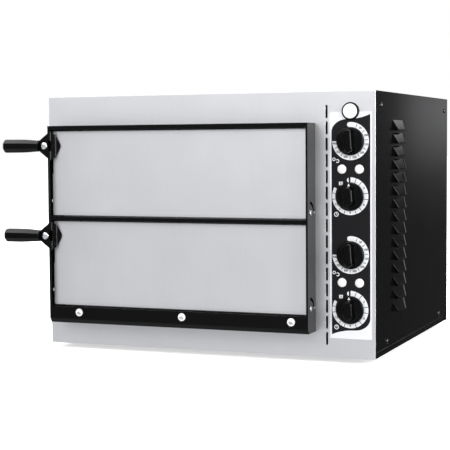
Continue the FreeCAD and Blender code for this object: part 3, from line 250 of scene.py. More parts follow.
def surface(name, colour, colour_spread, rough, rough_spread, grain, bump, **shader):
    """A procedural finish: fine grain and broad blotches vary its colour and roughness, the grain its relief.

    grain is the noise's scale along X, Y and Z, per metre; bump is the grain's height in millimetres."""
    made = bpy.data.materials.new(name)
    made.use_nodes = True
    tree = made.node_tree
    new, link = tree.nodes.new, tree.links.new
    main = tree.nodes["Principled BSDF"]
    main.inputs["Roughness"].default_value = rough
    for key, value in shader.items():
        main.inputs[key.replace("_", " ")].default_value = value
    place = new("ShaderNodeTexCoord").outputs["Object"]

    def noise(scale, detail):
        stretch = new("ShaderNodeMapping")
        stretch.inputs["Scale"].default_value = scale
        link(place, stretch.inputs["Vector"])
        cloud = new("ShaderNodeTexNoise")
        cloud.inputs["Scale"].default_value = 1
        cloud.inputs["Detail"].default_value = detail
        link(stretch.outputs[0], cloud.inputs["Vector"])
        return cloud.outputs["Fac"]

    fine, broad = noise(grain, 3), noise(BLOTCH, 2)
    both = new("ShaderNodeMath")
    both.operation = "ADD"
    link(fine, both.inputs[0])
    link(broad, both.inputs[1])
    mean = new("ShaderNodeMath")
    mean.operation = "MULTIPLY"
    mean.inputs[1].default_value = 0.5
    link(both.outputs[0], mean.inputs[0])
    shade = new("ShaderNodeValToRGB")
    link(mean.outputs[0], shade.inputs["Fac"])
    for element, position, sign in zip(shade.color_ramp.elements, NOISE_RANGE, (-1, 1)):
        element.position = position
        element.color = [min(1, max(0, value * (1 + sign * colour_spread))) for value in colour] + [1]
    link(shade.outputs["Color"], main.inputs["Base Color"])
    vary = new("ShaderNodeMapRange")
    vary.inputs["To Min"].default_value = max(0, rough - rough_spread)
    vary.inputs["To Max"].default_value = rough + rough_spread
    link(mean.outputs[0], vary.inputs["Value"])
    link(vary.outputs["Result"], main.inputs["Roughness"])
    if bump:
        relief = new("ShaderNodeBump")
        relief.inputs["Distance"].default_value = bump * MM
        link(fine, relief.inputs["Height"])
        link(relief.outputs["Normal"], main.inputs["Normal"])
    return made


BLACK_SPECULAR = 0.15  # lower than the usual 0.5, so that the blacks stay deep under these lights


def make_finishes():
    """Every finish by name: (colour, its spread, roughness, its spread, grain, bump, other shader values)."""
    black, metal = {"Specular_IOR_Level": BLACK_SPECULAR}, {"Metallic": 1.0}
    kinds = {
        "satin_steel": ((0.80, 0.803, 0.82), 0.02, 0.38, 0.04, (900, 900, 14), 0.008, {"Metallic": 0.85}),
        "black_paint": ((0.0022, 0.0021, 0.0024), 0.25, 0.14, 0.03, (700, 700, 700), 0.004, black),
        "galvanised_steel": ((0.50, 0.51, 0.52), 0.10, 0.42, 0.08, (120, 120, 120), 0.01, metal),
        "aluminised_steel": ((0.40, 0.38, 0.35), 0.15, 0.45, 0.10, (300, 300, 300), 0.01, metal),
        "refractory": ((0.62, 0.52, 0.38), 0.22, 0.85, 0.08, (500, 500, 500), 0.25, {}),
        "element_sheath": ((0.10, 0.09, 0.085), 0.2, 0.5, 0.1, (400, 400, 400), 0.02, {"Metallic": 0.6}),
        "mineral_wool": ((0.55, 0.48, 0.30), 0.25, 0.95, 0.04, (350, 350, 350), 0.8, {}),
        "black_plastic": ((0.0012, 0.0012, 0.0014), 0.2, 0.15, 0.04, (900, 900, 900), 0.004, black),
        "black_zinc": ((0.08, 0.08, 0.083), 0.2, 0.2, 0.05, (600, 600, 600), 0.006, metal),
        "zinc_steel": ((0.78, 0.79, 0.80), 0.05, 0.26, 0.06, (600, 600, 600), 0.006, metal),
        "white_plastic": ((0.92, 0.92, 0.90), 0.015, 0.3, 0.05, (400, 400, 400), 0.004, {}),
        "label_film": ((0.86, 0.87, 0.89), 0.015, 0.35, 0.05, (600, 600, 600), 0.004, {}),
        "label_black": ((0.0095, 0.0095, 0.0105), 0.10, 0.4, 0.05, (600, 600, 600), 0.004, black),
        "rubber": ((0.012, 0.012, 0.012), 0.3, 0.75, 0.08, (500, 500, 500), 0.05, black),
        "grey_plastic": ((0.10, 0.10, 0.105), 0.08, 0.45, 0.06, (600, 600, 600), 0.02, {}),
        "brass": ((0.72, 0.50, 0.20), 0.08, 0.3, 0.08, (500, 500, 500), 0.006, metal),
        "cable_sleeve": ((0.02, 0.02, 0.02), 0.3, 0.6, 0.1, (900, 900, 900), 0.1, {}),
    }
    return {name: surface(name, *values, **shader) for name, (*values, shader) in kinds.items()}


# ---------------------------------------------------------------- geometry helpers

def span(node):
    """Lowest and highest corner of a CAD node, in millimetres."""
    low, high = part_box(node)
    return low / MM, high / MM


def middle(node):
    low, high = span(node)
    return (low + high) / 2


def cad_copy(node):
    """A CAD node's own shape in millimetres, welded and with its flat faces whole."""
    bm = bmesh.new()
    bm.from_mesh(frame["nodes"][node].data)
    bmesh.ops.scale(bm, vec=(1 / MM,) * 3, verts=bm.verts)
    bmesh.ops.remove_doubles(bm, verts=bm.verts, dist=0.004)
    bmesh.ops.dissolve_limit(bm, angle_limit=math.radians(1), verts=bm.verts, edges=bm.edges)
    return bm


def loose_boxes(node):
    """The boxes of a CAD node's separate solids, in millimetres."""
    bm = cad_copy(node)
    left, boxes = set(bm.verts), []
    while left:
        reached = [left.pop()]
        for vert in reached:
            for edge in vert.link_edges:
                other = edge.other_vert(vert)
                if other in left:
                    left.remove(other)
                    reached.append(other)
        spots = [vert.co for vert in reached]
        boxes.append((Vector(map(min, *spots)), Vector(map(max, *spots))))
    bm.free()
    return sorted(boxes, key=lambda box: tuple(round(value, 2) for value in box[0]))


def place(side, level, centre=(0, 0), turn=0):
    """Matrix from a plan (u, v, height outward) to the frame: a plan drawn on one side of the oven."""
    u, v, out = SIDES[side]
    origin = u * centre[0] + v * centre[1] + out * (level * sum(out))
    spin = Matrix.Rotation(math.radians(turn), 4, "Z")
    axes = Matrix((u, v, out)).transposed().to_4x4()
    return Matrix.Translation(origin) @ axes @ spin


def arc(centre, radius, start, end, steps=16):
    """Points on an arc; angles in degrees clockwise from straight up."""
    angles = [math.radians(start + (end - start) * step / steps) for step in range(steps + 1)]
    return [(centre[0] + radius * math.sin(a), centre[1] + radius * math.cos(a)) for a in angles]


def circle(centre, radius, steps=48):
    return arc(centre, radius, 0, 360, steps)[:-1]


def rectangle(u_low, u_high, v_low, v_high):
    return [(u_low, v_low), (u_high, v_low), (u_high, v_high), (u_low, v_high)]


def stadium(width, length, steps=12):
    reach = (length - width) / 2
    return arc((0, reach), width / 2, -90, 90, steps) + arc((0, -reach), width / 2, 90, 270, steps)


class Mould:
    """Gathers geometry in millimetres and makes one piece of the oven from it."""

    def __init__(self, start=None):
        self.bm = start or bmesh.new()

    def _join(self, mesh, matrix):
        mesh.transform(matrix)
        self.bm.from_mesh(mesh)
        bpy.data.meshes.remove(mesh)

    def _from_object(self, data, matrix):
        thing = bpy.data.objects.new("sketch", data)
        bpy.context.scene.collection.objects.link(thing)
        mesh = bpy.data.meshes.new_from_object(thing.evaluated_get(bpy.context.evaluated_depsgraph_get()))
        bpy.data.objects.remove(thing)
        bpy.data.curves.remove(data)
        self._join(mesh, matrix)

    def plate(self, loops, thickness, matrix, rim=0.0):
        """A flat sheet on the plan, from height 0 to thickness, with rounded rims; inner loops are holes."""
        curve = bpy.data.curves.new("outline", "CURVE")
        curve.dimensions = "2D"
        curve.fill_mode = "BOTH"
        curve.extrude = thickness / 2 - rim
        curve.bevel_depth = rim
        curve.bevel_resolution = 1
        curve.offset = -rim
        for loop in loops:
            spline = curve.splines.new("POLY")
            spline.points.add(len(loop) - 1)
            for point, (u, v) in zip(spline.points, loop):
                point.co = (u, v, 0, 1)
            spline.use_cyclic_u = True
        self._from_object(curve, matrix @ Matrix.Translation((0, 0, thickness / 2)))
        return self

    def text(self, words, size, thickness, matrix):
        """Raised figures, centred on the plan's origin."""
        curve = bpy.data.curves.new("figures", "FONT")
        curve.body = words
        curve.size = size
        curve.align_x, curve.align_y = "CENTER", "CENTER"
        curve.extrude = thickness / 2
        curve.offset = size * 0.025
        self._from_object(curve, matrix @ Matrix.Translation((0, 0, thickness / 2)))
        return self

    def loft(self, rings, matrix, closed=True):
        """A skin through rings of equally many points, its two ends filled."""
        rows = [[self.bm.verts.new(matrix @ Vector(spot)) for spot in ring] for ring in rings]
        count = len(rows[0])
        for low, high in zip(rows, rows[1:]):
            for index in range(count):
                following = (index + 1) % count
                self.bm.faces.new((low[index], low[following], high[following], high[index]))
        if closed:
            self.bm.faces.new(rows[0][::-1])
            self.bm.faces.new(rows[-1])
        return self

    def turned(self, profile, matrix, steps=48, ripple=None):
        """A turned shape through (radius, height) points; ripple gives a share of the radius at each step."""
        rings = []
        for radius, height in profile:
            ring = []
            for step in range(steps):
                share = ripple(step, radius) if ripple else 1
                angle = 2 * math.pi * step / steps
                ring.append((radius * share * math.cos(angle), radius * share * math.sin(angle), height))
            rings.append(ring)
        return self.loft(rings, matrix)

    def soften(self, width, segments=2, limit=35):
        sharp = [e for e in self.bm.edges if e.is_manifold and e.calc_face_angle(0) > math.radians(limit)]
        bmesh.ops.bevel(self.bm, geom=sharp, offset=width, segments=segments, profile=0.5, affect="EDGES",
                        clamp_overlap=False)
        return self

    def piece(self, name, body, slot, *replaced, finish=None, angle=40, sheet=0, fold=0, weld=0.001,
              cutters=()):
        """The finished object; sheet thickens a surface inwards, and fold rounds the edges that leaves."""
        bmesh.ops.remove_doubles(self.bm, verts=self.bm.verts, dist=weld)
        if not sheet:
            bmesh.ops.recalc_face_normals(self.bm, faces=self.bm.faces)
        bmesh.ops.scale(self.bm, vec=(MM,) * 3, verts=self.bm.verts)
        mesh = bpy.data.meshes.new(name)
        self.bm.to_mesh(mesh)
        self.bm.free()
        thing = bpy.data.objects.new(name, mesh)
        bpy.context.scene.collection.objects.link(thing)
        if sheet:
            wall = thing.modifiers.new("sheet", "SOLIDIFY")
            wall.thickness, wall.offset = sheet * MM, -1
        if fold:
            edge = thing.modifiers.new("fold", "BEVEL")
            edge.width, edge.segments, edge.angle_limit = fold * MM, 2, math.radians(55)
        for cutter in cutters:
            carve = thing.modifiers.new("carve", "BOOLEAN")
            carve.operation, carve.solver, carve.object = "DIFFERENCE", "EXACT", cutter
        if thing.modifiers:
            made = bpy.data.meshes.new_from_object(thing.evaluated_get(bpy.context.evaluated_depsgraph_get()))
            thing.modifiers.clear()
            thing.data = made
            thing.data.name = name
        for cutter in cutters:
            bpy.data.objects.remove(cutter)
        thing.data.shade_smooth()
        thing.data.set_sharp_from_angle(angle=math.radians(angle))
        even = thing.modifiers.new("even_shading", "WEIGHTED_NORMAL")
        even.keep_sharp = True
        thing.data.materials.clear()
        thing.data.materials.append(FINISH[finish or slot])
        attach(thing, body)
        if replaced:
            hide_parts(*replaced)
        return thing


# ---------------------------------------------------------------- sheet metal

def make_softened_sheets():
    """Sheet parts whose CAD shape is right: the same shape with rounded folds and rims."""
    widths = {
        "front_panel": 0.3, "door_surround": 0.4, "top_cover": 0.45, "base_tray": 0.4, "back_panel": 0.45,
        "side_cover_left": 0.3, "bulkhead": 0.3, "support_beams": 0.4, "surround_washers": 0.25,
    }
    for deck in DECKS:
        widths.update({
            f"door_skin_{deck}": 0.45, f"door_inner_pan_{deck}": 0.5, f"door_hinges_{deck}": 0.25,
            f"chamber_{deck}": 0.3, f"baking_stone_{deck}": 1.5,
        })
    for node, width in widths.items():
        body = frame["nodes"][node]["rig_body"]
        Mould(cad_copy(node)).soften(width).piece(node + "_sheet", body, SLOT_OF[node], node, weld=0.0001)


LOUVRE_COUNT, LOUVRE_PITCH, LOUVRE_TOP, LOUVRE_HEIGHT, LOUVRE_DEPTH = 15, 20.9, 380, 17.4, 7.5
LOUVRE_ROOM = 8  # from the cover's flat face to the outside of its CAD box
# a louvre's front and back end at its flush top edge, and how far each end draws in towards the lip
LOUVRE_FRONT, LOUVRE_FRONT_TAPER, LOUVRE_BACK, LOUVRE_BACK_TAPER = -130, 15, -53, 6
# how its end walls rise: (distance along the sheet, share of the depth)
LOUVRE_FRONT_WALL = ((-1.2, 0), (-0.7, 0.03), (-0.2, 0.25), (0.1, 0.6), (0.3, 0.78), (0.7, 0.88), (1.3, 0.95),
                     (2.0, 0.985), (2.8, 1))
LOUVRE_BACK_WALL = ((-1.2, 0), (-0.7, 0.03), (-0.2, 0.25), (0.2, 0.5), (0.8, 0.64), (1.8, 0.72), (3.5, 0.8),
                    (6, 0.88), (9, 0.945), (13, 0.992), (16, 1))
# how its face rises from the flush top edge to the lip: (share of the height, share of the depth)
LOUVRE_FACE = ((0, 0), (0.03, 0.012), (0.06, 0.04), (0.11, 0.1), (0.5, 0.51), (0.85, 0.87), (0.94, 0.955),
               (1, 1))
# the sheet's lower edge is rolled inwards: (inward, up)
HEM = ((1.0, 0), (0.62, 0.08), (0.29, 0.29), (0.08, 0.62), (0, 1.0))


def louvre_row(x, z, drop, rise):
    """Points across the cover at one height; drop is a share of the louvre's height, rise of its depth."""
    front = LOUVRE_FRONT + LOUVRE_FRONT_TAPER * drop
    back = LOUVRE_BACK - LOUVRE_BACK_TAPER * drop
    points = [(front + along, share) for along, share in LOUVRE_FRONT_WALL]
    points += [(front + (back - front) * step / 4, 1) for step in (1, 2, 3)]
    points += [(back - along, share) for along, share in reversed(LOUVRE_BACK_WALL)]
    return [Vector((x + LOUVRE_DEPTH * rise * share, y, z)) for y, share in points]


def make_louvred_cover():
    """The right side cover: one sheet pressed out into a column of scoops that open downwards."""
    low, high = span("side_cover_right")
    x = high.x - LOUVRE_ROOM
    mould = Mould()
    grid = mould.bm

    def add_row(points, reuse=None):
        ends = [Vector((x, low.y, points[0].z)), Vector((x, high.y, points[0].z))]
        spots = [ends[0]] + points + [ends[1]]
        row = [grid.verts.new(spot) for spot in spots]
        if reuse:
            for index in (0, 1, -2, -1):
                grid.verts.remove(row[index])
                row[index] = reuse[index]
        return row

    def bridge(under, over):
        for index in range(len(under) - 1):
            grid.faces.new((under[index], under[index + 1], over[index + 1], over[index]))

    below = None
    for inward, up in HEM:
        row = add_row(louvre_row(x, low.z + up, 0, 0))
        for vert in row:
            vert.co.x -= inward
        if below:
            bridge(below, row)
        below = row
    for number in reversed(range(LOUVRE_COUNT)):
        top = LOUVRE_TOP - LOUVRE_PITCH * number
        slit = add_row(louvre_row(x, top - LOUVRE_HEIGHT, 1, 0))
        bridge(below, slit)
        below = None
        for drop, rise in reversed(LOUVRE_FACE):
            points = louvre_row(x, top - LOUVRE_HEIGHT * drop, drop, rise)
            row = add_row(points, slit if below is None else None)
            if below is not None:
                bridge(below, row)
            below = row
    bridge(below, add_row(louvre_row(x, high.z, 0, 0)))
    mould.piece("louvred_side_cover", "cabinet", "black_paint", "side_cover_right", sheet=0.8, fold=0.2,
                angle=50)


# ---------------------------------------------------------------- fixings

def cross_cutter(side, level, centre, radius, turn):
    """The upright cross that cuts a screw's recess."""
    half, reach = radius * 0.13, radius * 0.62
    cross = [(u * c + v * s, v * c - u * s) for c, s in ((1, 0), (0, 1), (-1, 0), (0, -1))
             for u, v in [(-half, reach), (half, reach), (half, half)]]
    cutter = Mould().plate([cross], radius, place(side, level, centre, turn))
    bmesh.ops.scale(cutter.bm, vec=(MM,) * 3, verts=cutter.bm.verts)
    mesh = bpy.data.meshes.new("cross")
    bmesh.ops.recalc_face_normals(cutter.bm, faces=cutter.bm.faces)
    cutter.bm.to_mesh(mesh)
    cutter.bm.free()
    thing = bpy.data.objects.new("cross", mesh)
    bpy.context.scene.collection.objects.link(thing)
    return thing


def outward(side, box):
    """The face level, centre and radius of a screw whose head is at the outward end of its box."""
    u, v, out = SIDES[side]
    low, high = box
    centre = (low + high) / 2
    level = (high if sum(out) > 0 else low).dot(Vector(map(abs, out)))
    return level, (centre.dot(u), centre.dot(v)), abs((high - low).dot(u)) / 2


def make_screws(node, name, height, side_of, finish=None):
    """Pan heads with a crossed recess on every solid of a screw node."""
    for number, box in enumerate(loose_boxes(node)):
        side = side_of(box)
        level, centre, radius = outward(side, box)
        sign = sum(SIDES[side][2])
        face = level - sign * height
        dome = [(radius * 0.45, -1.5), (radius * 0.45, 0), (radius * 0.97, 0), (radius, height * 0.12),
                (radius * 0.97, height * 0.4), (radius * 0.86, height * 0.68), (radius * 0.66, height * 0.88),
                (radius * 0.4, height * 0.97), (radius * 0.1, height)]
        cutter = cross_cutter(side, level - sign * height * 0.62, centre, radius, 20 + 37 * number)
        head = Mould().turned(dome, place(side, face, centre), steps=32)
        body = frame["nodes"][node]["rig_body"]
        replaced = [node] if number == 0 else []
        head.piece(f"{name}_{number + 1}", body, SLOT_OF[node], *replaced, finish=finish, cutters=[cutter],
                   angle=35)


def case_side(box):
    high = box[1]
    if high.y > span("back_panel")[1].y:
        return "back"
    return "left" if high.x < 0 else "right"


def make_all_screws():
    make_screws("case_screws", "case_screw", 2.2, case_side, finish="black_zinc")
    make_screws("pivot_screws", "pivot_screw", 2.0, lambda box: "left" if box[1].x < 0 else "right")
    make_screws("surround_screws", "surround_screw", 2.2, lambda box: "front")
    for deck in DECKS:
        make_screws(f"handle_screw_{deck}", f"grip_screw_{deck}", 3.0, lambda box: "front")


def make_rivets(deck):
    """Low domed rivet heads on the door's edges and on the handle bracket."""
    node = f"door_rivets_{deck}"
    skin_low, skin_high = span(f"door_skin_{deck}")
    mould = Mould()
    for low, high in loose_boxes(node):
        centre = (low + high) / 2
        radius = (high.x - low.x) / 2
        dome = [(radius, 0), (radius * 0.94, 0.35), (radius * 0.7, 0.75), (radius * 0.35, 0.95), (0.1, 1.0)]
        if high.y < skin_low.y:
            matrix = place("front", high.y, (centre.x, centre.z))
        elif centre.z > skin_high.z:
            matrix = place("top", skin_high.z, (centre.x, centre.y))
        else:
            matrix = Matrix.Translation((centre.x, centre.y, skin_low.z)) @ Matrix.Rotation(math.pi, 4, "X")
        mould.turned(dome, matrix, steps=24)
    mould.piece(f"door_rivet_heads_{deck}", f"door_{deck}", "zinc_steel", node)


# ---------------------------------------------------------------- handles

def faceted_ring(flats, corner, steps=3):
    """An octagon with a flat to the front and rounded corners, as (u, v) points round the origin."""
    points = []
    apothem = flats / 2 - corner
    reach = apothem / math.cos(math.pi / 8)
    for number in range(8):
        middle_angle = math.radians(22.5 + 45 * number)
        hub = (reach * math.cos(middle_angle), reach * math.sin(middle_angle))
        for step in range(steps + 1):
            angle = middle_angle + math.radians(22.5) * (2 * step / steps - 1)
            points.append((hub[0] + corner * math.cos(angle), hub[1] + corner * math.sin(angle)))
    return points


def make_bracket(deck):
    """Diamond-shaped sheet bracket: an ear over the surround, a rounded joggle and a foot on the door."""
    node = f"handle_bracket_{deck}"
    low, high = span(node)
    middle_z, sheet, bend = (low.z + high.z) / 2, 2, 2.8
    ear, foot = low.y, high.y - sheet
    ear_end, foot_start = low.x + 18.5, low.x + 25.5
    slot_start, slot_end, slot_half = low.x + 15.2, low.x + 19.6, 8.8
    bends = ((low.x, ear), (ear_end, ear), (foot_start, foot), (high.x, foot))
    corners = [Vector(spot) for spot in bends]
    path = [corners[0].lerp(corners[1], step / 6) for step in range(6)]
    for before, corner, after in zip(corners, corners[1:], corners[2:]):
        start = corner + (before - corner).normalized() * bend
        end = corner + (after - corner).normalized() * bend
        path += [start.lerp(corner, t).lerp(corner.lerp(end, t), t) for t in (0, 0.2, 0.4, 0.6, 0.8, 1)]
    path += [path[-1].lerp(corners[-1], 0.5), corners[-1]]
    # the diamond's outline: (x, half its height)
    diamond = ((low.x, 9.2), (low.x + 18.7, 23.5), (low.x + 21.7, 23.5), (high.x, 2.4))
    mould, rows = Mould(), []
    for spot in path:
        for (x, half), (next_x, next_half) in zip(diamond, diamond[1:]):
            if spot.x <= next_x + 0.001:
                half += (next_half - half) * (spot.x - x) / (next_x - x)
                break
        inner = min(slot_half, half * 0.75)
        heights = (-half, -inner, 0, inner, half)
        rows.append([mould.bm.verts.new((spot.x, spot.y, middle_z + z)) for z in heights])
    for left, right in zip(rows, rows[1:]):
        for index in range(4):
            slotted = index in (1, 2) and slot_start < left[0].co.x < slot_end
            if not slotted:
                mould.bm.faces.new((left[index], right[index], right[index + 1], left[index + 1]))
    mould.piece(node + "_sheet", f"door_{deck}", SLOT_OF[node], node, sheet=sheet, fold=0.5, angle=50)


def make_grip(deck):
    """Moulded grip: faceted, fullest towards its rounded end, with a collar where it meets the bracket."""
    low, high = span(f"handle_grip_{deck}")
    bracket_low = span(f"handle_bracket_{deck}")[0]
    widest = 22
    axis_y, axis_z = low.y + widest / 2, (low.z + high.z) / 2
    neck = bracket_low.x
    # (distance from the bracket, width across the flats, corner radius)
    sections = [(0, 15.5, 2.5), (-1.4, 16.6, 2.2), (-1.6, 18.2, 1.2), (-3.4, 18.4, 1.0), (-4.0, 17.6, 1.0),
                (-5.2, 17.7, 1.0), (-6.0, 18.5, 0.9), (-14, 19.4, 0.9), (-24, 20.9, 0.9), (-36, 21.8, 0.9),
                (-61.5, widest, 1.0), (-63.6, 21.2, 1.4), (-65.4, 19.0, 2.2), (-66.4, 15.8, 3.0),
                (-66.9, 11.5, 3.5), (-67, 6, 2.5)]
    rings = [[(neck + along, axis_y + u, axis_z + v) for u, v in faceted_ring(flats, corner)]
             for along, flats, corner in sections]
    tang = rectangle(neck - 1, high.x, axis_z - 7, axis_z + 7)
    mould = Mould().loft(rings, Matrix())
    tang_thickness, tang_depth = 6.8, 8.9
    mould.plate([tang], tang_thickness, place("front", bracket_low.y + tang_depth), rim=0.6)
    mould.piece(f"grip_{deck}", f"door_{deck}", "black_plastic", f"handle_grip_{deck}", angle=50)


# ---------------------------------------------------------------- controls

def dial_centre(kind, deck):
    spot = middle(f"{kind}_spindle_{deck}")
    return spot.x, spot.z


def wave_outline(left, right, bottom, top, crest, drop):
    """The label's dark field: its upper edge swings from a rounded left shoulder up to a point at the right,
    and its lower edge is the same curve turned half round."""
    wide = right - left
    shoulder = [(left, top - drop - crest)]
    shoulder += [(left + wide * 0.4 * (1 - math.cos(a)), top - drop - crest + crest * 0.96 * math.sin(a))
                 for a in [math.radians(10 * step) for step in range(1, 10)]]
    shoulder += [(left + wide * (0.4 + 0.6 * s), top - drop + drop * (s ** 2.4) - crest * 0.04 * (1 - s))
                 for s in (0.15, 0.3, 0.45, 0.6, 0.72, 0.84, 0.93, 1)]
    turned = [(left + right - u, bottom + top - v) for u, v in shoulder]
    return shoulder + turned


def band(radii, start, end, steps=60):
    """A ring sector, clockwise from straight up; each of its two radii may grow along it."""
    (outer, outer_end), (inner, inner_end) = radii
    rim, hole = [], []
    for step in range(steps + 1):
        share = step / steps
        angle = math.radians(start + (end - start) * share)
        rim_radius = outer + (outer_end - outer) * share
        hole_radius = inner + (inner_end - inner) * share
        for row, radius in ((rim, rim_radius), (hole, hole_radius)):
            row.append((radius * math.sin(angle), radius * math.cos(angle)))
    return rim + hole[::-1]


def tick(angle, inner, outer, width):
    """A short radial mark as four points."""
    a = math.radians(angle)
    along, across = Vector((math.sin(a), math.cos(a))), Vector((math.cos(a), -math.sin(a))) * width / 2
    return [tuple(along * inner - across), tuple(along * outer - across), tuple(along * outer + across),
            tuple(along * inner + across)]


INK = 0.05  # thickness of each printed layer
SPINDLE_HOLE = 5
# thermostat scale: figures 50 to 400, each after a tick
HEAT_FIGURES, HEAT_START, HEAT_STEP, HEAT_RADIUS = 8, 38, 32, 25.8
# timer scale: evenly spaced marks, with a figure in place of every third one
TIMER_MARKS, TIMER_STEP, TIMER_RADIUS, FIGURE_EVERY = 15, 20, 25.6, 3
TIMER_BAND_SHIFT = -0.9


def around(spot, radius, angle):
    """The point at a radius and an angle clockwise from straight up, round a spot on the label."""
    a = math.radians(angle)
    return spot[0] + radius * math.sin(a), spot[1] + radius * math.cos(a)


def shifted(loop, u, v):
    return [(point[0] + u, point[1] + v) for point in loop]


def print_thermostat_scale(white, dark, spot, level):
    """A tapering white band with figures, its round start, and a degree sign at the lower left."""
    here, above = place("front", level, spot), place("front", level - INK, spot)
    white.plate([band(((29.3, 29.3), (21.6, 22.4)), -4, 270)], INK, here)
    white.plate([circle((-1.78, 25.4), 3.75, 24)], INK * 0.9, here)
    for number in range(HEAT_FIGURES):
        angle = HEAT_START + HEAT_STEP * number
        at = place("front", level - INK, around(spot, HEAT_RADIUS, angle))
        dark.text(str(50 * (number + 1)), 4.4, INK, at)
        dark.plate([tick(angle - HEAT_STEP / 2, 22.9, 27.8, 0.8)], INK, above)
    degree = (spot[0] - 26.7, spot[1] - 27.9)
    white.plate([circle((0, 0), 2.6, 24), circle((0, 0), 1.5, 24)], INK, place("front", level, degree))
    letter = place("front", level, (degree[0] + 5.7, degree[1] - 2.7), 90)
    white.plate([band(((2.9, 2.9), (1.7, 1.7)), 40, 320, 24)], INK, letter)


def print_timer_scale(white, dark, spot, level):
    """A tapering white band with ticks and figures, an off mark, a plain block and a clock sign."""
    here, above = place("front", level, spot), place("front", level - INK, spot)
    white.plate([band(((29.4, 28.8), (21.2, 24.1)), 1.5, 299)], INK, here)
    for mark in range(1, TIMER_MARKS):
        angle = TIMER_STEP * mark
        if mark % FIGURE_EVERY == 0:
            dark.text(str(mark), 5.0, INK, place("front", level - INK, around(spot, TIMER_RADIUS, angle)))
        else:
            dark.plate([tick(angle, 21.4 if mark < 8 else 24.2, 29.2, 0.9)], INK, above)
    off = [(u * 0.85 - 2.2, v + 25) for u, v in arc((0, 0), 3.3, 180, 360, 16)]
    white.plate([off], INK, here)
    white.plate([shifted(rectangle(-3, 3, -2.7, 2.7), -14.8, 19.8)], INK, here)
    dark.plate([shifted(rectangle(-0.5, 0.5, -1.7, 1.7), -14.8, 19.8)], INK, above)
    clock = place("front", level, (spot[0] - 22, spot[1] - 28))
    white.plate([circle((0, 0), 3.7, 28), circle((0, 0), 2.6, 28)], INK, clock)
    hands = [(-0.4, -0.4), (1.9, -0.4), (1.9, 0.4), (0.4, 0.4), (0.4, 2.2), (-0.4, 2.2)]
    white.plate([hands], INK, clock)


def make_label():
    """The label's pale plate, its dark field and, for each deck, the two printed dial scales."""
    low, high = span("control_label")
    front = low.y
    holes = [circle(dial_centre(kind, deck), SPINDLE_HOLE)
             for deck in DECKS for kind in ("thermostat", "timer")]
    outline = rectangle(low.x, high.x, low.z, high.z)
    plate = Mould().plate([outline] + holes, high.y - low.y, place("front", high.y), rim=0.12)
    plate.piece("label_plate", "cabinet", "label_film", "control_label")
    field = wave_outline(low.x + 3, high.x - 2, low.z + 6, high.z - 3.4, 20, 6.7)
    dark_field = Mould().plate([field] + holes, INK, place("front", front))
    dark_field.piece("label_field", "cabinet", "label_film", finish="label_black")
    for deck in DECKS:
        white, dark = Mould(), Mould()
        print_thermostat_scale(white, dark, dial_centre("thermostat", deck), front - INK)
        timer = dial_centre("timer", deck)
        print_timer_scale(white, dark, (timer[0] + TIMER_BAND_SHIFT, timer[1]), front - INK)
        white.piece(f"scale_bands_{deck}", "cabinet", "label_film", angle=30)
        dark.piece(f"scale_marks_{deck}", "cabinet", "label_film", finish="label_black", angle=30)


KNOB_TILT = 4  # how far the pointers stand anticlockwise of upright
KNOB_RIBS = 80


def make_knob(kind, deck):
    node = f"{kind}_knob_{deck}"
    low, high = span(node)
    centre = dial_centre(kind, deck)
    depth = high.y - low.y
    here = place("front", high.y, centre, KNOB_TILT)

    def ripple(step, radius):
        return 1 - 0.022 * (step % 2) if radius > 21 else 1

    skirt = [(9, 0), (20.6, 0), (21.4, 0.5), (21.9, 1.2), (21.9, 3.2), (21.4, 4.0), (20.4, 4.6), (19.4, 4.75),
             (18.9, 4.5), (18.3, 4.5), (12, 5.2), (6, 5.6), (0.5, 5.6)]
    mould = Mould().turned(skirt, here, steps=KNOB_RIBS * 2, ripple=ripple)
    # grip: stadium sections from the skirt to the front, (height, width, length)
    if kind == "thermostat":
        sections = [(4.6, 17.4, 37.6), (5.6, 16.4, 36.8), (7, 15.6, 36.4), (depth - 3, 12.4, 35.2),
                    (depth - 1.2, 11.6, 34.6), (depth - 0.35, 10.2, 33.4), (depth, 8.2, 31.6)]
    else:
        sections = [(4.6, 19, 33), (5.6, 17.6, 31.6), (7, 16.6, 30.8), (depth - 3, 14.6, 29.2),
                    (depth - 1.2, 13.6, 28.4), (depth - 0.35, 12, 26.8), (depth, 9.4, 24.4)]
    rings = [[(u, v, height) for u, v in stadium(width, length, 14)] for height, width, length in sections]
    mould.loft(rings, here)
    mould.piece(node + "_moulding", f"{kind}_dial_{deck}", "black_plastic", node, angle=32)
    if kind == "timer":
        arrow = [(-2.1, 15.9), (2.1, 15.9), (0, 19.9)]
        Mould().plate([arrow], 0.3, here @ Matrix.Translation((0, 0, 4.8))).piece(
            f"timer_pointer_{deck}", f"timer_dial_{deck}", "white_plastic")


def make_lamps():
    for number, (low, high) in enumerate(loose_boxes("pilot_lamps")):
        centre = ((low.x + high.x) / 2, (low.z + high.z) / 2)
        face = span("control_label")[0].y
        lens = [(5, -1), (7.0, -0.2), (7.1, 0), (7.05, 0.6), (6.6, 1.15), (5.4, 1.6), (3.5, 1.78), (0.2, 1.8)]
        replaced = ["pilot_lamps"] if number == 0 else []
        Mould().turned(lens, place("front", face, centre)).piece(
            f"lamp_lens_{number + 1}", "cabinet", "white_plastic", *replaced)


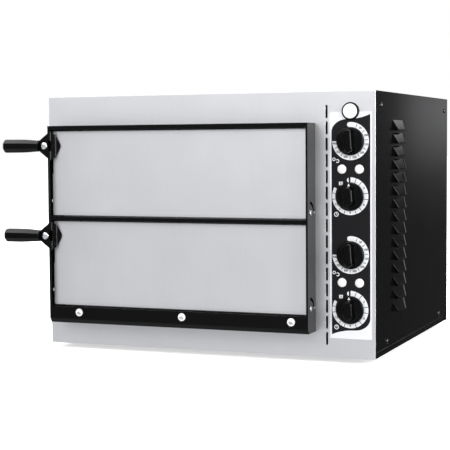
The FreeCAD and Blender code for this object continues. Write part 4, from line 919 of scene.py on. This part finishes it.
def make_power_button():
    low, high = span("power_switch")
    cap_low = span("power_button_cap")[0]
    centre = ((low.x + high.x) / 2, (low.z + high.z) / 2)
    panel = span("front_panel")[0].y
    rise = panel - low.y
    bezel = [(10.8, -21), (10.8, -0.5), (13.2, -0.5), (13.9, 0), (13.9, rise - 0.8), (13.6, rise - 0.2),
             (12.9, rise), (12.0, rise - 0.1), (11.6, rise - 0.6), (11.5, -0.2), (8.9, -0.2), (8.9, -20.5)]
    Mould().turned(bezel, place("front", panel, centre)).piece(
        "power_button_bezel", "cabinet", "black_plastic", "power_switch", angle=35)
    height = panel - cap_low.y
    cap = [(8.5, -4), (8.5, height - 1.5), (10.9, height - 1.4), (11.2, height - 1.1), (11.15, height - 0.6),
           (10.8, height - 0.2), (10, height), (9.2, height - 0.1), (8.5, height - 0.25), (0.3, height - 0.3)]
    Mould().turned(cap, place("front", panel, centre)).piece(
        "power_button_face", "power_button", "white_plastic", "power_button_cap", angle=35)


# ---------------------------------------------------------------- underside and rear

def make_feet():
    mould = Mould()
    for low, high in loose_boxes("rubber_feet"):
        centre = ((low.x + high.x) / 2, (low.y + high.y) / 2)
        profile = [(9, 0.8), (11.8, 0), (12.6, 0.1), (13.1, 0.7), (14.2, 5.4), (14.9, 7.4), (15, 8)]
        mould.turned(profile, Matrix.Translation((*centre, 0)))
    mould.piece("moulded_feet", "cabinet", "rubber", "rubber_feet", angle=45)


def hexagon(radius):
    angles = [math.radians(60 * number) for number in range(6)]
    return [(radius * math.cos(a), radius * math.sin(a)) for a in angles]


def ribbed(step, radius):
    """The gland cap's ribs: every third step of its widest part is drawn in a little."""
    return 0.97 if radius > 9.5 and step % 3 == 0 else 1


def make_services():
    """Supply gland with its nut and ribbed cap, and the threaded bonding stud with its washer and nut."""
    low, high = span("cable_gland")
    back = span("back_panel")[1].y
    centre = ((low.x + high.x) / 2, (low.z + high.z) / 2)
    here = place("back", back, centre)
    gland = Mould().plate([hexagon(12), circle((0, 0), 6)], 5, here, rim=0.5)
    cap = [(5.2, 4.5), (10.6, 4.6), (10.9, 5.2), (10.6, 9.4), (9.6, 11.4), (8.2, 12.7), (6.6, 12.95),
           (5.6, 12.6), (5.2, 12)]
    gland.turned(cap, here, steps=48, ripple=ribbed)
    gland.turned([(7.8, -12), (7.8, 0.5), (5.2, 0.5), (5.2, -12)], here)
    gland.piece("gland_nut_and_cap", "cabinet", "grey_plastic", "cable_gland", angle=35)
    low, high = span("bonding_stud")
    centre = ((low.x + high.x) / 2, (low.z + high.z) / 2)
    here = place("back", back, centre)
    reach = high.y - back
    thread = [(2.4, -8)]
    for foot in range(-7, int(reach)):  # one turn each millimetre
        thread += [(2.95, foot + 0.35), (2.95, foot + 0.5), (2.5, foot + 0.9)]
    thread += [(2.4, reach - 0.4), (1.9, reach - 0.02)]
    stud = Mould().turned(thread, here, steps=32)
    stud.plate([circle((0, 0), 6.2), circle((0, 0), 3.1)], 0.9, here, rim=0.2)
    stud.plate([hexagon(5.7), circle((0, 0), 3.0)], 3.4, here @ Matrix.Translation((0, 0, 0.9)), rim=0.35)
    stud.piece("bonding_stud_and_nut", "cabinet", "brass", "bonding_stud", angle=30)


# ---------------------------------------------------------------- build

FINISH = make_finishes()
make_camera()
make_studio()
for name, node_object in frame["nodes"].items():
    node_object.data.materials.clear()
    node_object.data.materials.append(FINISH[SLOT_OF[name]])
make_softened_sheets()
make_louvred_cover()
make_all_screws()
make_label()
make_lamps()
make_power_button()
for deck_name in DECKS:
    make_rivets(deck_name)
    make_bracket(deck_name)
    make_grip(deck_name)
    make_knob("thermostat", deck_name)
    make_knob("timer", deck_name)
make_feet()
make_services()
